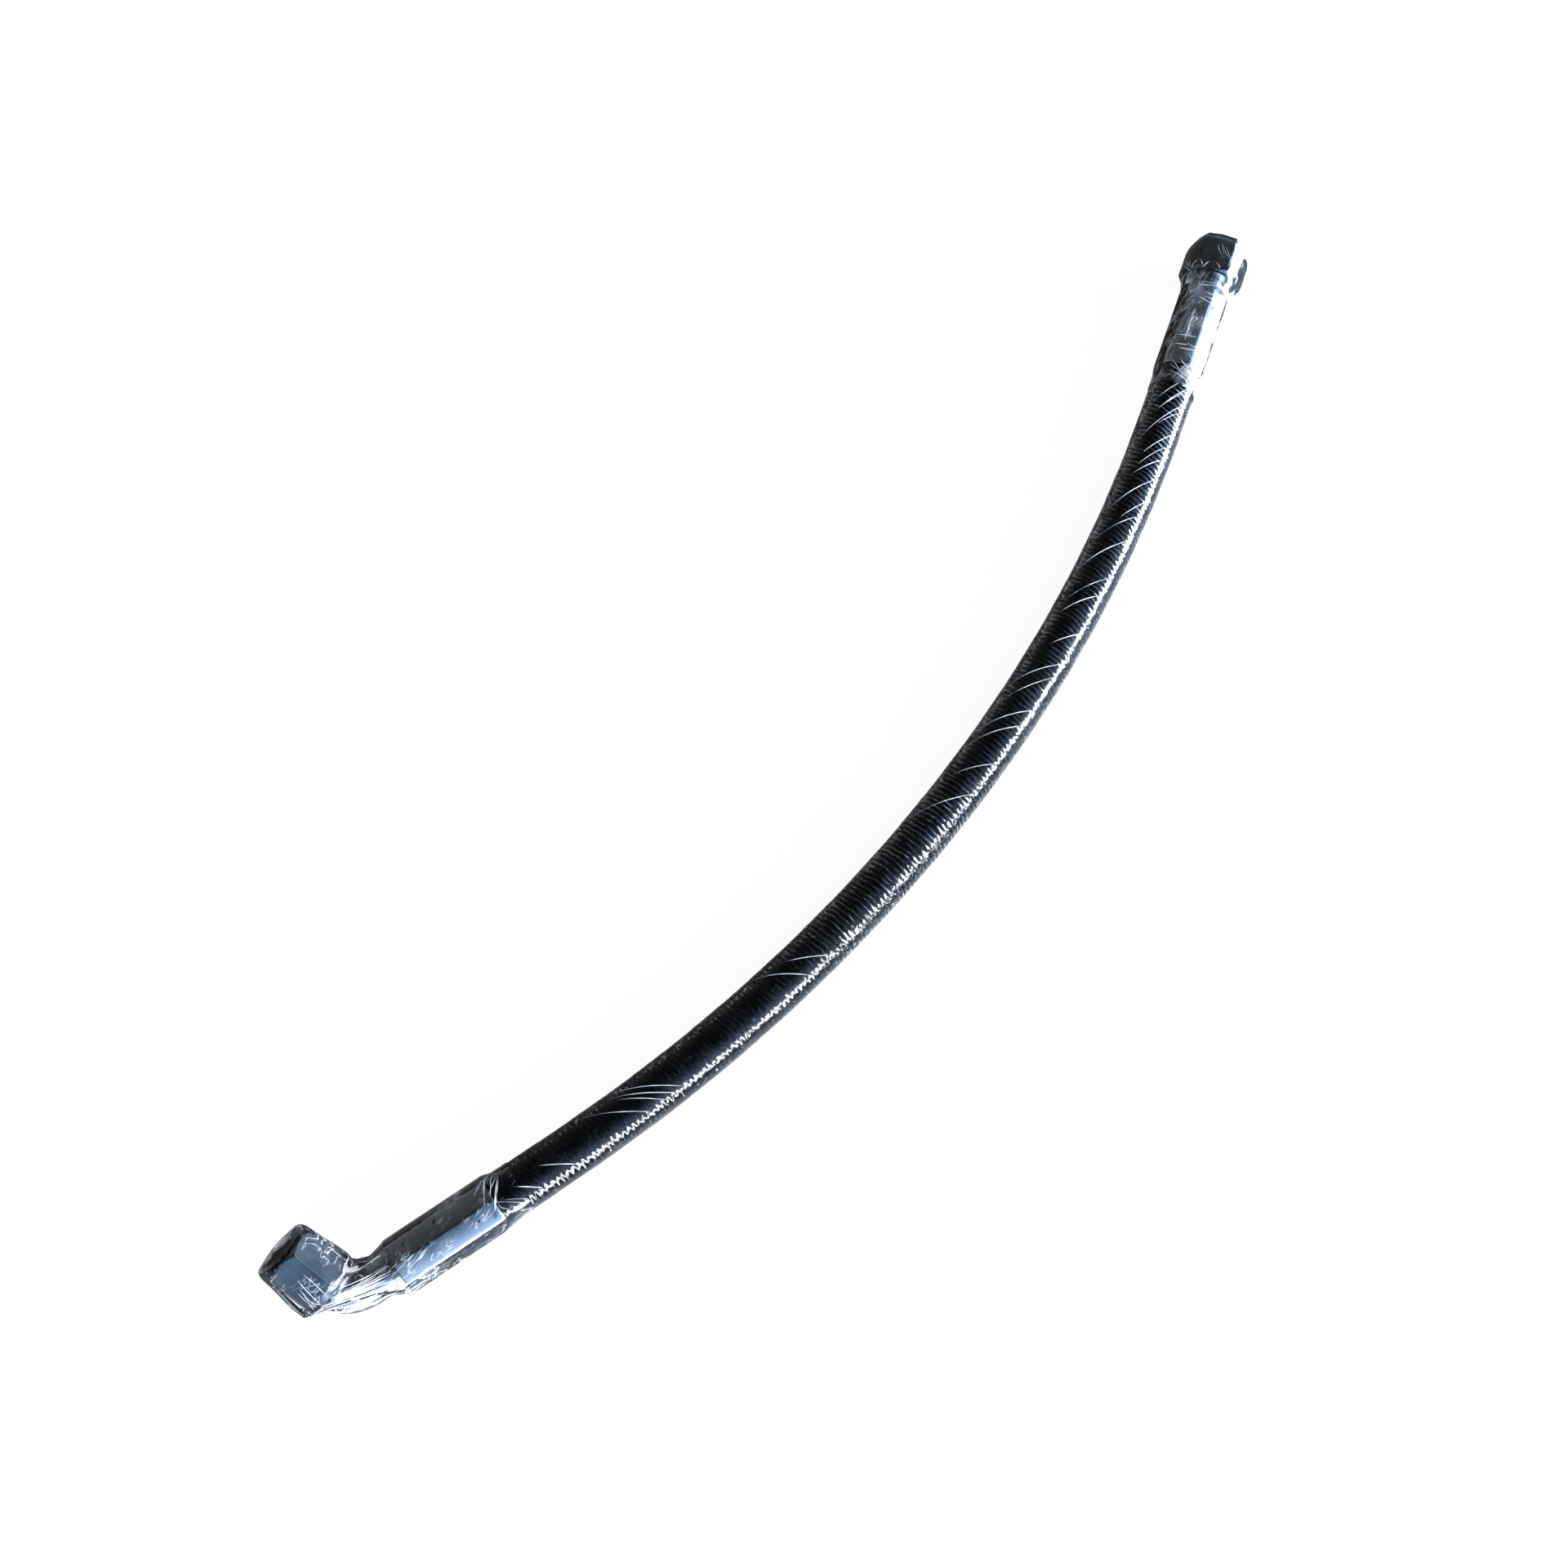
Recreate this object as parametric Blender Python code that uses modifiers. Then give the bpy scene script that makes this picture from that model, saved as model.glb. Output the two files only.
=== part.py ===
"""Hydraulic hose assembly, DN20 two-wire braid: one straight and one bent swivel-nut end, film wrapped.

The assembly lies on the floor (z = 0) with its chord along X, bulging toward -Y.  The straight
fitting is at +X and the bent fitting at -X.  Lengths along a fitting are measured outward from the
outer end of its ferrule, and lengths along a nut forward from the back of the nut.
"""

import bpy
import bmesh
import math
from mathutils import Matrix, Vector

ASSEMBLY_NAME = "hydraulic_hose_assembly"
GAP = 0.0003                      # clearance between nested or touching pieces

# Hose, DN20 (3/4 in bore)
HOSE_EXPOSED = 0.720              # length between the two ferrule mouths
HOSE_TURN = math.radians(35.6)    # heading change over the exposed length
CURVE_RAMP = 0.080                # length over which the curvature builds up beside a ferrule
ROUTE_STEP = 0.002                # integration step along the route
ROUTE_POINTS = 15                 # route stations on the exposed hose
HOSE_SIDES = 6                    # curve bevel resolution, gives 16 sides
COVER_R = 0.0150
COVER_T = 0.0012
OUTER_BRAID_R = 0.0135
OUTER_BRAID_T = 0.0006
MIDDLE_RUBBER_R = 0.0126
MIDDLE_RUBBER_T = 0.0004
INNER_BRAID_R = 0.0119
INNER_BRAID_T = 0.0006
INNER_TUBE_R = 0.0110
INNER_TUBE_T = 0.0015

# Stretch film
FILM_T = 0.0002
FILM_HOSE_R = COVER_R + GAP + FILM_T
FILM_NECK_R = 0.0149
FILM_NECK_INSET = 0.0006
FILM_NECK_STRAIGHT = 0.004        # straight end of the film beside the bent end's nut

# Heights of the axis above the floor
NUT_AF = 0.036                    # across flats
STRAIGHT_AXIS_Z = NUT_AF / 2
HOSE_AXIS_Z = FILM_HOSE_R + 0.0001
ELBOW_AXIS_Z = 0.0169
STRAIGHT_FALL = 0.24              # hose length that comes down from the straight end
ELBOW_RISE = 0.16                 # hose length that rises to the bent end

# Ferrule
FERRULE_LEN = 0.066
FERRULE_AF = 0.0324               # across the crimp flats
FERRULE_R = 0.0168                # round left between the flats
FERRULE_FLATS = 8
FERRULE_BORE_R = 0.01535
FERRULE_MOUTH_R = 0.0157
FERRULE_LIP_R = 0.0109
FERRULE_LIP_LEN = 0.0046
FERRULE_CHAMFER = 0.0008
STRAIGHT_FERRULE_ROLL = math.radians(17.0)
ELBOW_FERRULE_ROLL = math.radians(5.0)

# Stem
STEM_BORE_R = 0.0075
INSERT_CREST_R = 0.0090
INSERT_ROOT_R = 0.0085
INSERT_LEN = 0.062
INSERT_BARBS = 4
INSERT_BARB_PITCH = 0.011
COLLAR_R = 0.0125
COLLAR_BACK = 0.0082
COLLAR_FRONT = 0.0050
LIP_GROOVE_R = 0.0105
SHOULDER_R = 0.0140
SHOULDER_LEN = 0.0040
TUBE_R = 0.0110
HOSE_END_INSET = 0.0085           # cut end of the hose, behind the ferrule's outer end

# Fitting layout
STRAIGHT_NECK = 0.012             # ferrule end to nut back on the straight fitting
ELBOW_RUN = 0.0190                # ferrule end to the start of the bend
ELBOW_BEND = math.radians(75.0)
ELBOW_BEND_R = 0.021
ELBOW_BEND_POINTS = 9
ELBOW_LIFT = math.radians(27.0)   # plane of the bend, above the floor
ELBOW_NUT_OVERLAP = 0.001         # nut back reaches this far over the end of the bend
ELBOW_TUBE_END = 0.001            # straight end of the bent tube, past the bend

# Swivel nut, M30x2 for a 24 degree cone
NUT_LEN = 0.031
NUT_THREAD_R = 0.0139
NUT_MOUTH_R = 0.0154
NUT_MOUTH_CHAMFER = 0.0015
NUT_FACE_R = 0.0176
NUT_BACK_R = 0.0168
NUT_FRONT_BEVEL = 0.0021
NUT_BACK_BEVEL = 0.0024
NUT_BORE_R = 0.0114
NUT_SEAT_BACK = 0.0068
NUT_SEAT_FRONT = 0.0093
WIRE_GROOVE_BACK = 0.0030
WIRE_GROOVE_FRONT = 0.0054
NUT_WIRE_GROOVE_R = 0.0126
NUT_ENVELOPE_R = 0.0215
STRAIGHT_NUT_ROLL = 0.0
ELBOW_NUT_ROLL = math.radians(42.0)

# Cone head of the stem
STEM_WIRE_GROOVE_R = 0.0102
HEAD_BACK = 0.0069
HEAD_R = 0.0134
HEAD_CYLINDER_BACK = 0.0093
HEAD_CYLINDER_FRONT = 0.0115
NOSE_LEN = 0.0220
NOSE_R = 0.0112
NOSE_FACE_R = 0.0106
NOSE_BEVEL = 0.0006
O_RING_GROOVE_BACK = 0.0148
O_RING_GROOVE_FRONT = 0.0174
O_RING_GROOVE_R = 0.0110
O_RING_R = 0.0121
O_RING_WIRE_R = 0.00075
SNAP_WIRE_R = 0.0114
SNAP_WIRE_WIRE_R = 0.00075

STEM_STEPS = 24
NUT_STEPS = 32
RING_STEPS = 24
RING_WIRE_SIDES = 6


# ---------------------------------------------------------------- scene and materials

def clear_scene():
    for item in list(bpy.data.objects):
        bpy.data.objects.remove(item, do_unlink=True)


def new_collection(name):
    collection = bpy.data.collections.new(name)
    bpy.context.scene.collection.children.link(collection)
    return collection


def make_material(name, colour, roughness, metallic):
    material = bpy.data.materials.new(name)
    material.use_nodes = True
    shader = material.node_tree.nodes["Principled BSDF"]
    shader.inputs["Base Color"].default_value = (*colour, 1.0)
    shader.inputs["Roughness"].default_value = roughness
    shader.inputs["Metallic"].default_value = metallic
    return material


def make_materials():
    return {
        "cover": make_material("cover_rubber", (0.016, 0.015, 0.016), 0.45, 0.0),
        "rubber": make_material("tube_rubber", (0.012, 0.012, 0.012), 0.60, 0.0),
        "layer": make_material("insulating_rubber", (0.030, 0.028, 0.026), 0.70, 0.0),
        "braid": make_material("brass_coated_wire", (0.55, 0.42, 0.24), 0.35, 1.0),
        "zinc": make_material("bright_zinc", (0.66, 0.73, 0.79), 0.22, 1.0),
        "wire": make_material("spring_wire", (0.45, 0.46, 0.48), 0.30, 1.0),
        "seal": make_material("nitrile_rubber", (0.010, 0.010, 0.011), 0.40, 0.0),
        "film": make_material("stretch_film", (0.78, 0.82, 0.86), 0.12, 0.0),
    }


# ---------------------------------------------------------------- modelling helpers

def shade_round(mesh):
    mesh.shade_smooth()
    mesh.set_sharp_from_angle(angle=math.radians(30.0))


def add_object(name, data, collection, material=None, parent=None):
    item = bpy.data.objects.new(name, data)
    collection.objects.link(item)
    if material is not None:
        data.materials.append(material)
    if parent is not None:
        item.parent = parent
    return item


def add_empty(name, collection, matrix, parent):
    item = bpy.data.objects.new(name, None)
    item.empty_display_size = 0.01
    collection.objects.link(item)
    item.parent = parent
    item.matrix_basis = matrix
    return item


def frame_matrix(origin, z_axis, x_hint):
    """Matrix with its Z along z_axis and its X as near to x_hint as square allows."""
    z_dir = z_axis.normalized()
    y_dir = z_dir.cross(x_hint).normalized()
    x_dir = y_dir.cross(z_dir)
    rotation = Matrix((x_dir, y_dir, z_dir)).transposed().to_4x4()
    return Matrix.Translation(origin) @ rotation


def turned(name, outer, inner, steps, collection, material, parent):
    """Ring of revolution about Z: outer and inner are (radius, z) from the front end to the back."""
    mesh = bpy.data.meshes.new(name)
    profile = list(outer) + list(reversed(inner))
    bm = bmesh.new()
    verts = [bm.verts.new((radius, 0.0, z)) for radius, z in profile]
    for index, vert in enumerate(verts):
        bm.edges.new((vert, verts[(index + 1) % len(verts)]))
    bm.to_mesh(mesh)
    bm.free()
    item = add_object(name, mesh, collection, material, parent)
    screw = item.modifiers.new("turn", "SCREW")
    screw.axis = "Z"
    screw.angle = math.tau
    screw.steps = steps
    screw.render_steps = steps
    screw.use_merge_vertices = True
    screw.merge_threshold = 0.000001
    screw.use_smooth_shade = True
    return item


def prism_cutter(name, sides, across_flats, length, start, roll, collection, parent):
    """Closed regular prism along Z that trims a turned blank to its flats."""
    mesh = bpy.data.meshes.new(name)
    bm = bmesh.new()
    corner_r = across_flats / 2 / math.cos(math.pi / sides)
    lift = Matrix.Translation((0.0, 0.0, start + length / 2)) @ Matrix.Rotation(roll, 4, "Z")
    bmesh.ops.create_cone(bm, cap_ends=True, segments=sides, radius1=corner_r, radius2=corner_r,
                          depth=length, matrix=lift)
    bm.to_mesh(mesh)
    bm.free()
    item = add_object(name, mesh, collection, None, parent)
    item.hide_render = True
    item.display_type = "WIRE"
    return item


def trim_to(item, cutter):
    boolean = item.modifiers.new("flats", "BOOLEAN")
    boolean.operation = "INTERSECT"
    boolean.solver = "EXACT"
    boolean.object = cutter


def ring(name, major_r, minor_r, z, collection, material, parent):
    """Round ring about Z, turned from a small circle."""
    circle = []
    for index in range(RING_WIRE_SIDES):
        angle = math.pi / 2 - math.tau * index / RING_WIRE_SIDES
        circle.append((major_r + minor_r * math.cos(angle), z + minor_r * math.sin(angle)))
    return turned(name, circle, [], RING_STEPS, collection, material, parent)


def tube_shell(name, points, radius, thickness, collection, material, parent):
    """Open-ended pipe: a bevelled curve made into a mesh, then thickened inward."""
    curve = bpy.data.curves.new(name + "_route", "CURVE")
    curve.dimensions = "3D"
    curve.bevel_depth = radius
    curve.bevel_resolution = HOSE_SIDES
    curve.use_fill_caps = False
    spline = curve.splines.new("POLY")
    spline.points.add(len(points) - 1)
    for target, point in zip(spline.points, points):
        target.co = (*point, 1.0)
    route = bpy.data.objects.new(name + "_route", curve)
    collection.objects.link(route)
    evaluated = route.evaluated_get(bpy.context.evaluated_depsgraph_get())
    mesh = bpy.data.meshes.new_from_object(evaluated)
    mesh.name = name
    bpy.data.objects.remove(route, do_unlink=True)
    bm = bmesh.new()
    bm.from_mesh(mesh)
    bmesh.ops.remove_doubles(bm, verts=bm.verts, dist=0.000001)
    bm.to_mesh(mesh)
    bm.free()
    mesh.materials.clear()
    shade_round(mesh)
    item = add_object(name, mesh, collection, material, parent)
    shell = item.modifiers.new("wall", "SOLIDIFY")
    shell.thickness = thickness
    shell.offset = -1.0
    shell.use_even_offset = True
    return item


# ---------------------------------------------------------------- route of the hose

def ease(value):
    value = min(max(value, 0.0), 1.0)
    return value * value * (3.0 - 2.0 * value)


def curvature(distance):
    """Turn per metre: nothing at the ferrules, even between the two ramps."""
    peak = HOSE_TURN / (HOSE_EXPOSED - CURVE_RAMP)
    rise = min(distance, HOSE_EXPOSED - distance) / CURVE_RAMP
    return peak * min(max(rise, 0.0), 1.0)


def axis_height(distance):
    fall = ease(1.0 - distance / STRAIGHT_FALL)
    rise = ease((distance - HOSE_EXPOSED + ELBOW_RISE) / ELBOW_RISE)
    return HOSE_AXIS_Z + (STRAIGHT_AXIS_Z - HOSE_AXIS_Z) * fall + (ELBOW_AXIS_Z - HOSE_AXIS_Z) * rise


def hose_route():
    """Stations from the straight ferrule's mouth to the bent end's, and the two end headings."""
    heading = math.pi + HOSE_TURN / 2
    start_dir = Vector((math.cos(heading), math.sin(heading), 0.0))
    steps = round(HOSE_EXPOSED / ROUTE_STEP)
    place = Vector((0.0, 0.0, 0.0))
    track = [place.copy()]
    for index in range(steps):
        heading -= curvature((index + 0.5) * ROUTE_STEP) * ROUTE_STEP
        place += ROUTE_STEP * Vector((math.cos(heading), math.sin(heading), 0.0))
        track.append(place.copy())
    end_dir = Vector((math.cos(heading), math.sin(heading), 0.0))
    middle = (track[0] + track[-1]) / 2
    stations = []
    for index in range(ROUTE_POINTS):
        at = round(index * steps / (ROUTE_POINTS - 1))
        point = track[at] - middle
        point.z = axis_height(at * ROUTE_STEP)
        stations.append(point)
    return stations, start_dir, end_dir


def elbow_route(origin, run_dir, side_dir):
    """Axis of the bent tube, the place of the nut's back on it, and the outgoing heading."""
    bend_start = origin + run_dir * ELBOW_RUN
    centre = bend_start + side_dir * ELBOW_BEND_R
    points = [origin + run_dir * (SHOULDER_LEN + 2 * GAP)]
    for index in range(ELBOW_BEND_POINTS):
        angle = ELBOW_BEND * index / (ELBOW_BEND_POINTS - 1)
        arm = run_dir * math.sin(angle) - side_dir * math.cos(angle)
        points.append(centre + arm * ELBOW_BEND_R)
    out_dir = run_dir * math.cos(ELBOW_BEND) + side_dir * math.sin(ELBOW_BEND)
    nut_back = points[-1] - out_dir * ELBOW_NUT_OVERLAP
    points.append(points[-1] + out_dir * ELBOW_TUBE_END)
    return points, nut_back, out_dir


# ---------------------------------------------------------------- fittings

def insert_profile():
    """Barbed insert and collar, front to back, ending at the tip inside the hose."""
    points = [
        (SHOULDER_R, SHOULDER_LEN + GAP),
        (SHOULDER_R, GAP),
        (LIP_GROOVE_R, GAP),
        (LIP_GROOVE_R, -COLLAR_FRONT),
        (COLLAR_R, -COLLAR_FRONT),
        (COLLAR_R, -COLLAR_BACK),
        (INSERT_CREST_R, -COLLAR_BACK),
    ]
    for index in range(INSERT_BARBS):
        at = -COLLAR_BACK - 0.006 - index * INSERT_BARB_PITCH
        points.append((INSERT_CREST_R, at))
        points.append((INSERT_ROOT_R, at))
        points.append((INSERT_CREST_R, at - 0.004))
    points.append((INSERT_CREST_R, -INSERT_LEN + 0.002))
    points.append((INSERT_ROOT_R, -INSERT_LEN))
    return points


def head_profile(back):
    """Cone head in nut coordinates shifted by back, from the nose to the snap wire groove."""
    slope = (HEAD_R - NOSE_R) / (NOSE_LEN - HEAD_CYLINDER_FRONT)

    def cone_r(at):
        return HEAD_R - slope * (at - HEAD_CYLINDER_FRONT)

    nose = NOSE_LEN - NOSE_BEVEL
    local = [
        (NOSE_FACE_R, NOSE_LEN),
        (cone_r(nose), nose),
        (cone_r(O_RING_GROOVE_FRONT), O_RING_GROOVE_FRONT),
        (O_RING_GROOVE_R, O_RING_GROOVE_FRONT),
        (O_RING_GROOVE_R, O_RING_GROOVE_BACK),
        (cone_r(O_RING_GROOVE_BACK), O_RING_GROOVE_BACK),
        (HEAD_R, HEAD_CYLINDER_FRONT),
        (HEAD_R, HEAD_CYLINDER_BACK),
        (TUBE_R, HEAD_BACK),
        (TUBE_R, WIRE_GROOVE_FRONT),
        (STEM_WIRE_GROOVE_R, WIRE_GROOVE_FRONT),
        (STEM_WIRE_GROOVE_R, WIRE_GROOVE_BACK),
        (TUBE_R, WIRE_GROOVE_BACK),
    ]
    return [(radius, at + back) for radius, at in local]


def make_ferrule(name, roll, collection, cutters, material, parent):
    chamfer_r = FERRULE_AF / 2 - FERRULE_CHAMFER / 2
    outer = [
        (chamfer_r, 0.0),
        (FERRULE_R, -FERRULE_CHAMFER),
        (FERRULE_R, -FERRULE_LEN + FERRULE_CHAMFER),
        (chamfer_r + FERRULE_CHAMFER / 4, -FERRULE_LEN),
    ]
    inner = [
        (FERRULE_LIP_R, 0.0),
        (FERRULE_LIP_R, -FERRULE_LIP_LEN),
        (FERRULE_BORE_R, -FERRULE_LIP_LEN),
        (FERRULE_BORE_R, -FERRULE_LEN + 0.003),
        (FERRULE_MOUTH_R, -FERRULE_LEN),
    ]
    ferrule = turned(name, outer, inner, NUT_STEPS, collection, material, parent)
    margin = 0.002
    cutter = prism_cutter(name + "_flats", FERRULE_FLATS, FERRULE_AF, FERRULE_LEN + 2 * margin,
                          -FERRULE_LEN - margin, roll, cutters, parent)
    trim_to(ferrule, cutter)
    return ferrule


def make_nut(name, roll, collection, cutters, material, parent):
    """Hexagon swivel nut about its own axis, back at z = 0 and open mouth at z = NUT_LEN."""
    outer = [
        (NUT_FACE_R, NUT_LEN),
        (NUT_ENVELOPE_R, NUT_LEN - NUT_FRONT_BEVEL),
        (NUT_ENVELOPE_R, NUT_BACK_BEVEL),
        (NUT_BACK_R, 0.0),
    ]
    inner = [
        (NUT_MOUTH_R, NUT_LEN),
        (NUT_THREAD_R, NUT_LEN - NUT_MOUTH_CHAMFER),
        (NUT_THREAD_R, NUT_SEAT_FRONT),
        (NUT_BORE_R, NUT_SEAT_BACK),
        (NUT_BORE_R, WIRE_GROOVE_FRONT),
        (NUT_WIRE_GROOVE_R, WIRE_GROOVE_FRONT),
        (NUT_WIRE_GROOVE_R, WIRE_GROOVE_BACK),
        (NUT_BORE_R, WIRE_GROOVE_BACK),
        (NUT_BORE_R, 0.0),
    ]
    nut = turned(name, outer, inner, NUT_STEPS, collection, material, parent)
    margin = 0.002
    cutter = prism_cutter(name + "_hexagon", 6, NUT_AF, NUT_LEN + 2 * margin, -margin, roll,
                          cutters, parent)
    trim_to(nut, cutter)
    return nut


def make_seals(prefix, nut_back, collection, materials, parent):
    wire_z = nut_back + (WIRE_GROOVE_BACK + WIRE_GROOVE_FRONT) / 2
    seal_z = nut_back + (O_RING_GROOVE_BACK + O_RING_GROOVE_FRONT) / 2
    ring(prefix + "_nut_snap_wire", SNAP_WIRE_R, SNAP_WIRE_WIRE_R, wire_z, collection,
         materials["wire"], parent)
    ring(prefix + "_cone_o_ring", O_RING_R, O_RING_WIRE_R, seal_z, collection,
         materials["seal"], parent)


def build_straight_end(origin, out_dir, collection, cutters, materials, root):
    up = Vector((0.0, 0.0, 1.0))
    base = add_empty("straight_end_frame", collection, frame_matrix(origin, out_dir, up), root)
    outer = head_profile(STRAIGHT_NECK) + [(TUBE_R, SHOULDER_LEN + GAP)] + insert_profile()
    inner = [(STEM_BORE_R, STRAIGHT_NECK + NOSE_LEN), (STEM_BORE_R, -INSERT_LEN)]
    turned("straight_stem", outer, inner, STEM_STEPS, collection, materials["zinc"], base)
    make_ferrule("straight_ferrule", STRAIGHT_FERRULE_ROLL, collection, cutters,
                 materials["zinc"], base)
    make_seals("straight", STRAIGHT_NECK, collection, materials, base)
    nut_frame = frame_matrix(origin + out_dir * STRAIGHT_NECK, out_dir, up)
    nut_axis = add_empty("straight_nut_axis", collection, nut_frame, root)
    make_nut("straight_swivel_nut", STRAIGHT_NUT_ROLL, collection, cutters, materials["zinc"],
             nut_axis)
    neck = [origin + out_dir * (FILM_NECK_INSET + portion * (STRAIGHT_NECK - 2 * FILM_NECK_INSET))
            for portion in (0.0, 0.5, 1.0)]
    tube_shell("film_straight_neck", neck, FILM_NECK_R, FILM_T, collection, materials["film"], root)


def build_bent_end(origin, run_dir, collection, cutters, materials, root):
    up = Vector((0.0, 0.0, 1.0))
    level_side = run_dir.cross(up)
    side_dir = level_side * math.cos(ELBOW_LIFT) + up * math.sin(ELBOW_LIFT)
    base = add_empty("elbow_end_frame", collection, frame_matrix(origin, run_dir, up), root)
    inner = [(STEM_BORE_R, SHOULDER_LEN + GAP), (STEM_BORE_R, -INSERT_LEN)]
    turned("elbow_insert", insert_profile(), inner, STEM_STEPS, collection, materials["zinc"], base)
    make_ferrule("elbow_ferrule", ELBOW_FERRULE_ROLL, collection, cutters, materials["zinc"], base)
    route, nut_back, out_dir = elbow_route(origin, run_dir, side_dir)
    tube_shell("elbow_bent_tube", route, TUBE_R, TUBE_R - STEM_BORE_R, collection,
               materials["zinc"], root)
    neck = [origin + run_dir * FILM_NECK_INSET] + route[1:-4]
    neck.append(nut_back - out_dir * FILM_NECK_STRAIGHT)
    neck.append(nut_back - out_dir * FILM_NECK_INSET)
    tube_shell("film_elbow_neck", neck, FILM_NECK_R, FILM_T, collection, materials["film"], root)
    head_frame = add_empty("elbow_head_frame", collection, frame_matrix(nut_back, out_dir, up), root)
    head_back = ELBOW_NUT_OVERLAP + ELBOW_TUBE_END + GAP
    outer = head_profile(0.0) + [(TUBE_R, head_back)]
    inner = [(STEM_BORE_R, NOSE_LEN), (STEM_BORE_R, head_back)]
    turned("elbow_cone_head", outer, inner, STEM_STEPS, collection, materials["zinc"], head_frame)
    make_seals("elbow", 0.0, collection, materials, head_frame)
    nut_axis = add_empty("elbow_nut_axis", collection, frame_matrix(nut_back, out_dir, up), root)
    make_nut("elbow_swivel_nut", ELBOW_NUT_ROLL, collection, cutters, materials["zinc"], nut_axis)


def build_hose(stations, start_dir, end_dir, collection, materials, root):
    """Five nested hose layers that run into both ferrules, and the film sleeve between them."""
    inside = FERRULE_LEN - HOSE_END_INSET
    start_tip = stations[0] - start_dir * inside
    end_tip = stations[-1] + end_dir * inside
    route = [start_tip] + stations + [end_tip]
    layers = [
        ("hose_inner_tube", INNER_TUBE_R, INNER_TUBE_T, "rubber"),
        ("hose_inner_braid", INNER_BRAID_R, INNER_BRAID_T, "braid"),
        ("hose_middle_rubber", MIDDLE_RUBBER_R, MIDDLE_RUBBER_T, "layer"),
        ("hose_outer_braid", OUTER_BRAID_R, OUTER_BRAID_T, "braid"),
        ("hose_cover", COVER_R, COVER_T, "cover"),
    ]
    for name, radius, thickness, material in layers:
        tube_shell(name, route, radius, thickness, collection, materials[material], root)
    sleeve_start = stations[0] + start_dir * FILM_NECK_INSET
    sleeve_end = stations[-1] - end_dir * FILM_NECK_INSET
    sleeve = [sleeve_start] + stations[1:-1] + [sleeve_end]
    tube_shell("film_hose_sleeve", sleeve, FILM_HOSE_R, FILM_T, collection, materials["film"], root)


def stand_on_floor(root, collection):
    """Moves the assembly so that the middle of its footprint is the world origin."""
    bpy.context.view_layer.update()
    graph = bpy.context.evaluated_depsgraph_get()
    corners = []
    for item in collection.objects:
        if item.type != "MESH":
            continue
        evaluated = item.evaluated_get(graph)
        corners += [evaluated.matrix_world @ vert.co for vert in evaluated.data.vertices]
    low = Vector([min(corner[axis] for corner in corners) for axis in range(3)])
    high = Vector([max(corner[axis] for corner in corners) for axis in range(3)])
    root.location = (-(low.x + high.x) / 2, -(low.y + high.y) / 2, -low.z)
    bpy.context.view_layer.update()


def main():
    clear_scene()
    collection = new_collection(ASSEMBLY_NAME)
    cutters = new_collection("cutters")
    materials = make_materials()
    root = bpy.data.objects.new("assembly_frame", None)
    collection.objects.link(root)
    stations, start_dir, end_dir = hose_route()
    build_hose(stations, start_dir, end_dir, collection, materials, root)
    straight_origin = stations[0] - start_dir * FERRULE_LEN
    build_straight_end(straight_origin, -start_dir, collection, cutters, materials, root)
    bent_origin = stations[-1] + end_dir * FERRULE_LEN
    build_bent_end(bent_origin, end_dir, collection, cutters, materials, root)
    stand_on_floor(root, collection)


main()
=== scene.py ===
"""Looks of the hydraulic hose assembly: rubber hose, crimped ferrules, swivel nuts and stretch film.

Everything is in the row frame, in metres.  Lengths along a fitting run outward from the outer end of
its ferrule, and lengths along a nut forward from its back.  Angles round an axis start at the top.
"""

import math

import bmesh
import bpy
import numpy as np
from mathutils import Matrix, Vector


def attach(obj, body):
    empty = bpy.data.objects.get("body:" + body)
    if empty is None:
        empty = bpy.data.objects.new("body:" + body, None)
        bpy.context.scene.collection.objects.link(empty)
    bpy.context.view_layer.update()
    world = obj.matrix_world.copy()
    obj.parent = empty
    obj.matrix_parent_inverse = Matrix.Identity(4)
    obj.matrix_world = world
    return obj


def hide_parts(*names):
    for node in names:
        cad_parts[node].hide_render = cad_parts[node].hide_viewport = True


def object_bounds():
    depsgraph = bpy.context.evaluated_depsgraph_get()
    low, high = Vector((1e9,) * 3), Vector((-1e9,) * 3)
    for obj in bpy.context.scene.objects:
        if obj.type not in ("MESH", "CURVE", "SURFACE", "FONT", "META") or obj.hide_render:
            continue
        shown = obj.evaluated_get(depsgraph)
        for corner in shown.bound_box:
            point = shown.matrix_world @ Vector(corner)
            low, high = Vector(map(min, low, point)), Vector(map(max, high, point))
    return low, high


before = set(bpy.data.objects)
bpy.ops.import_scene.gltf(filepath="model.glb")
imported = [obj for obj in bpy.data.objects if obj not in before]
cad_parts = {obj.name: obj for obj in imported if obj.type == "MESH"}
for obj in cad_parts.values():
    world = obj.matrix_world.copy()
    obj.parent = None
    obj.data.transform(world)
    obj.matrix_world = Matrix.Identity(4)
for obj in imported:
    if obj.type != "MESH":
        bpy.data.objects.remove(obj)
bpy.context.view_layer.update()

UP = np.array((0.0, 0.0, 1.0))

# Camera
TARGET = (-0.044075, 0.02631, 0.018)
HEADING = math.radians(38.24)
LOOKING_DOWN = math.radians(70.8)
DISTANCE = 1.10
LENS = 40.0

# Hose and its route, as in the CAD
HOSE_EXPOSED = 0.720
HOSE_TURN = math.radians(35.6)
CURVE_RAMP = 0.080
ROUTE_STEP = 0.002
HOSE_R = 0.0150
HOSE_BORE_R = 0.0138
HOSE_INSIDE = 0.0575              # length inside each ferrule
HOSE_AXIS_Z = 0.0156
STRAIGHT_AXIS_Z = 0.018
ELBOW_AXIS_Z = 0.0169
STRAIGHT_FALL = 0.24
ELBOW_RISE = 0.16
FLOOR_SHIFT = np.array((0.0032681078, -0.0017899610, 0.0))

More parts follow.
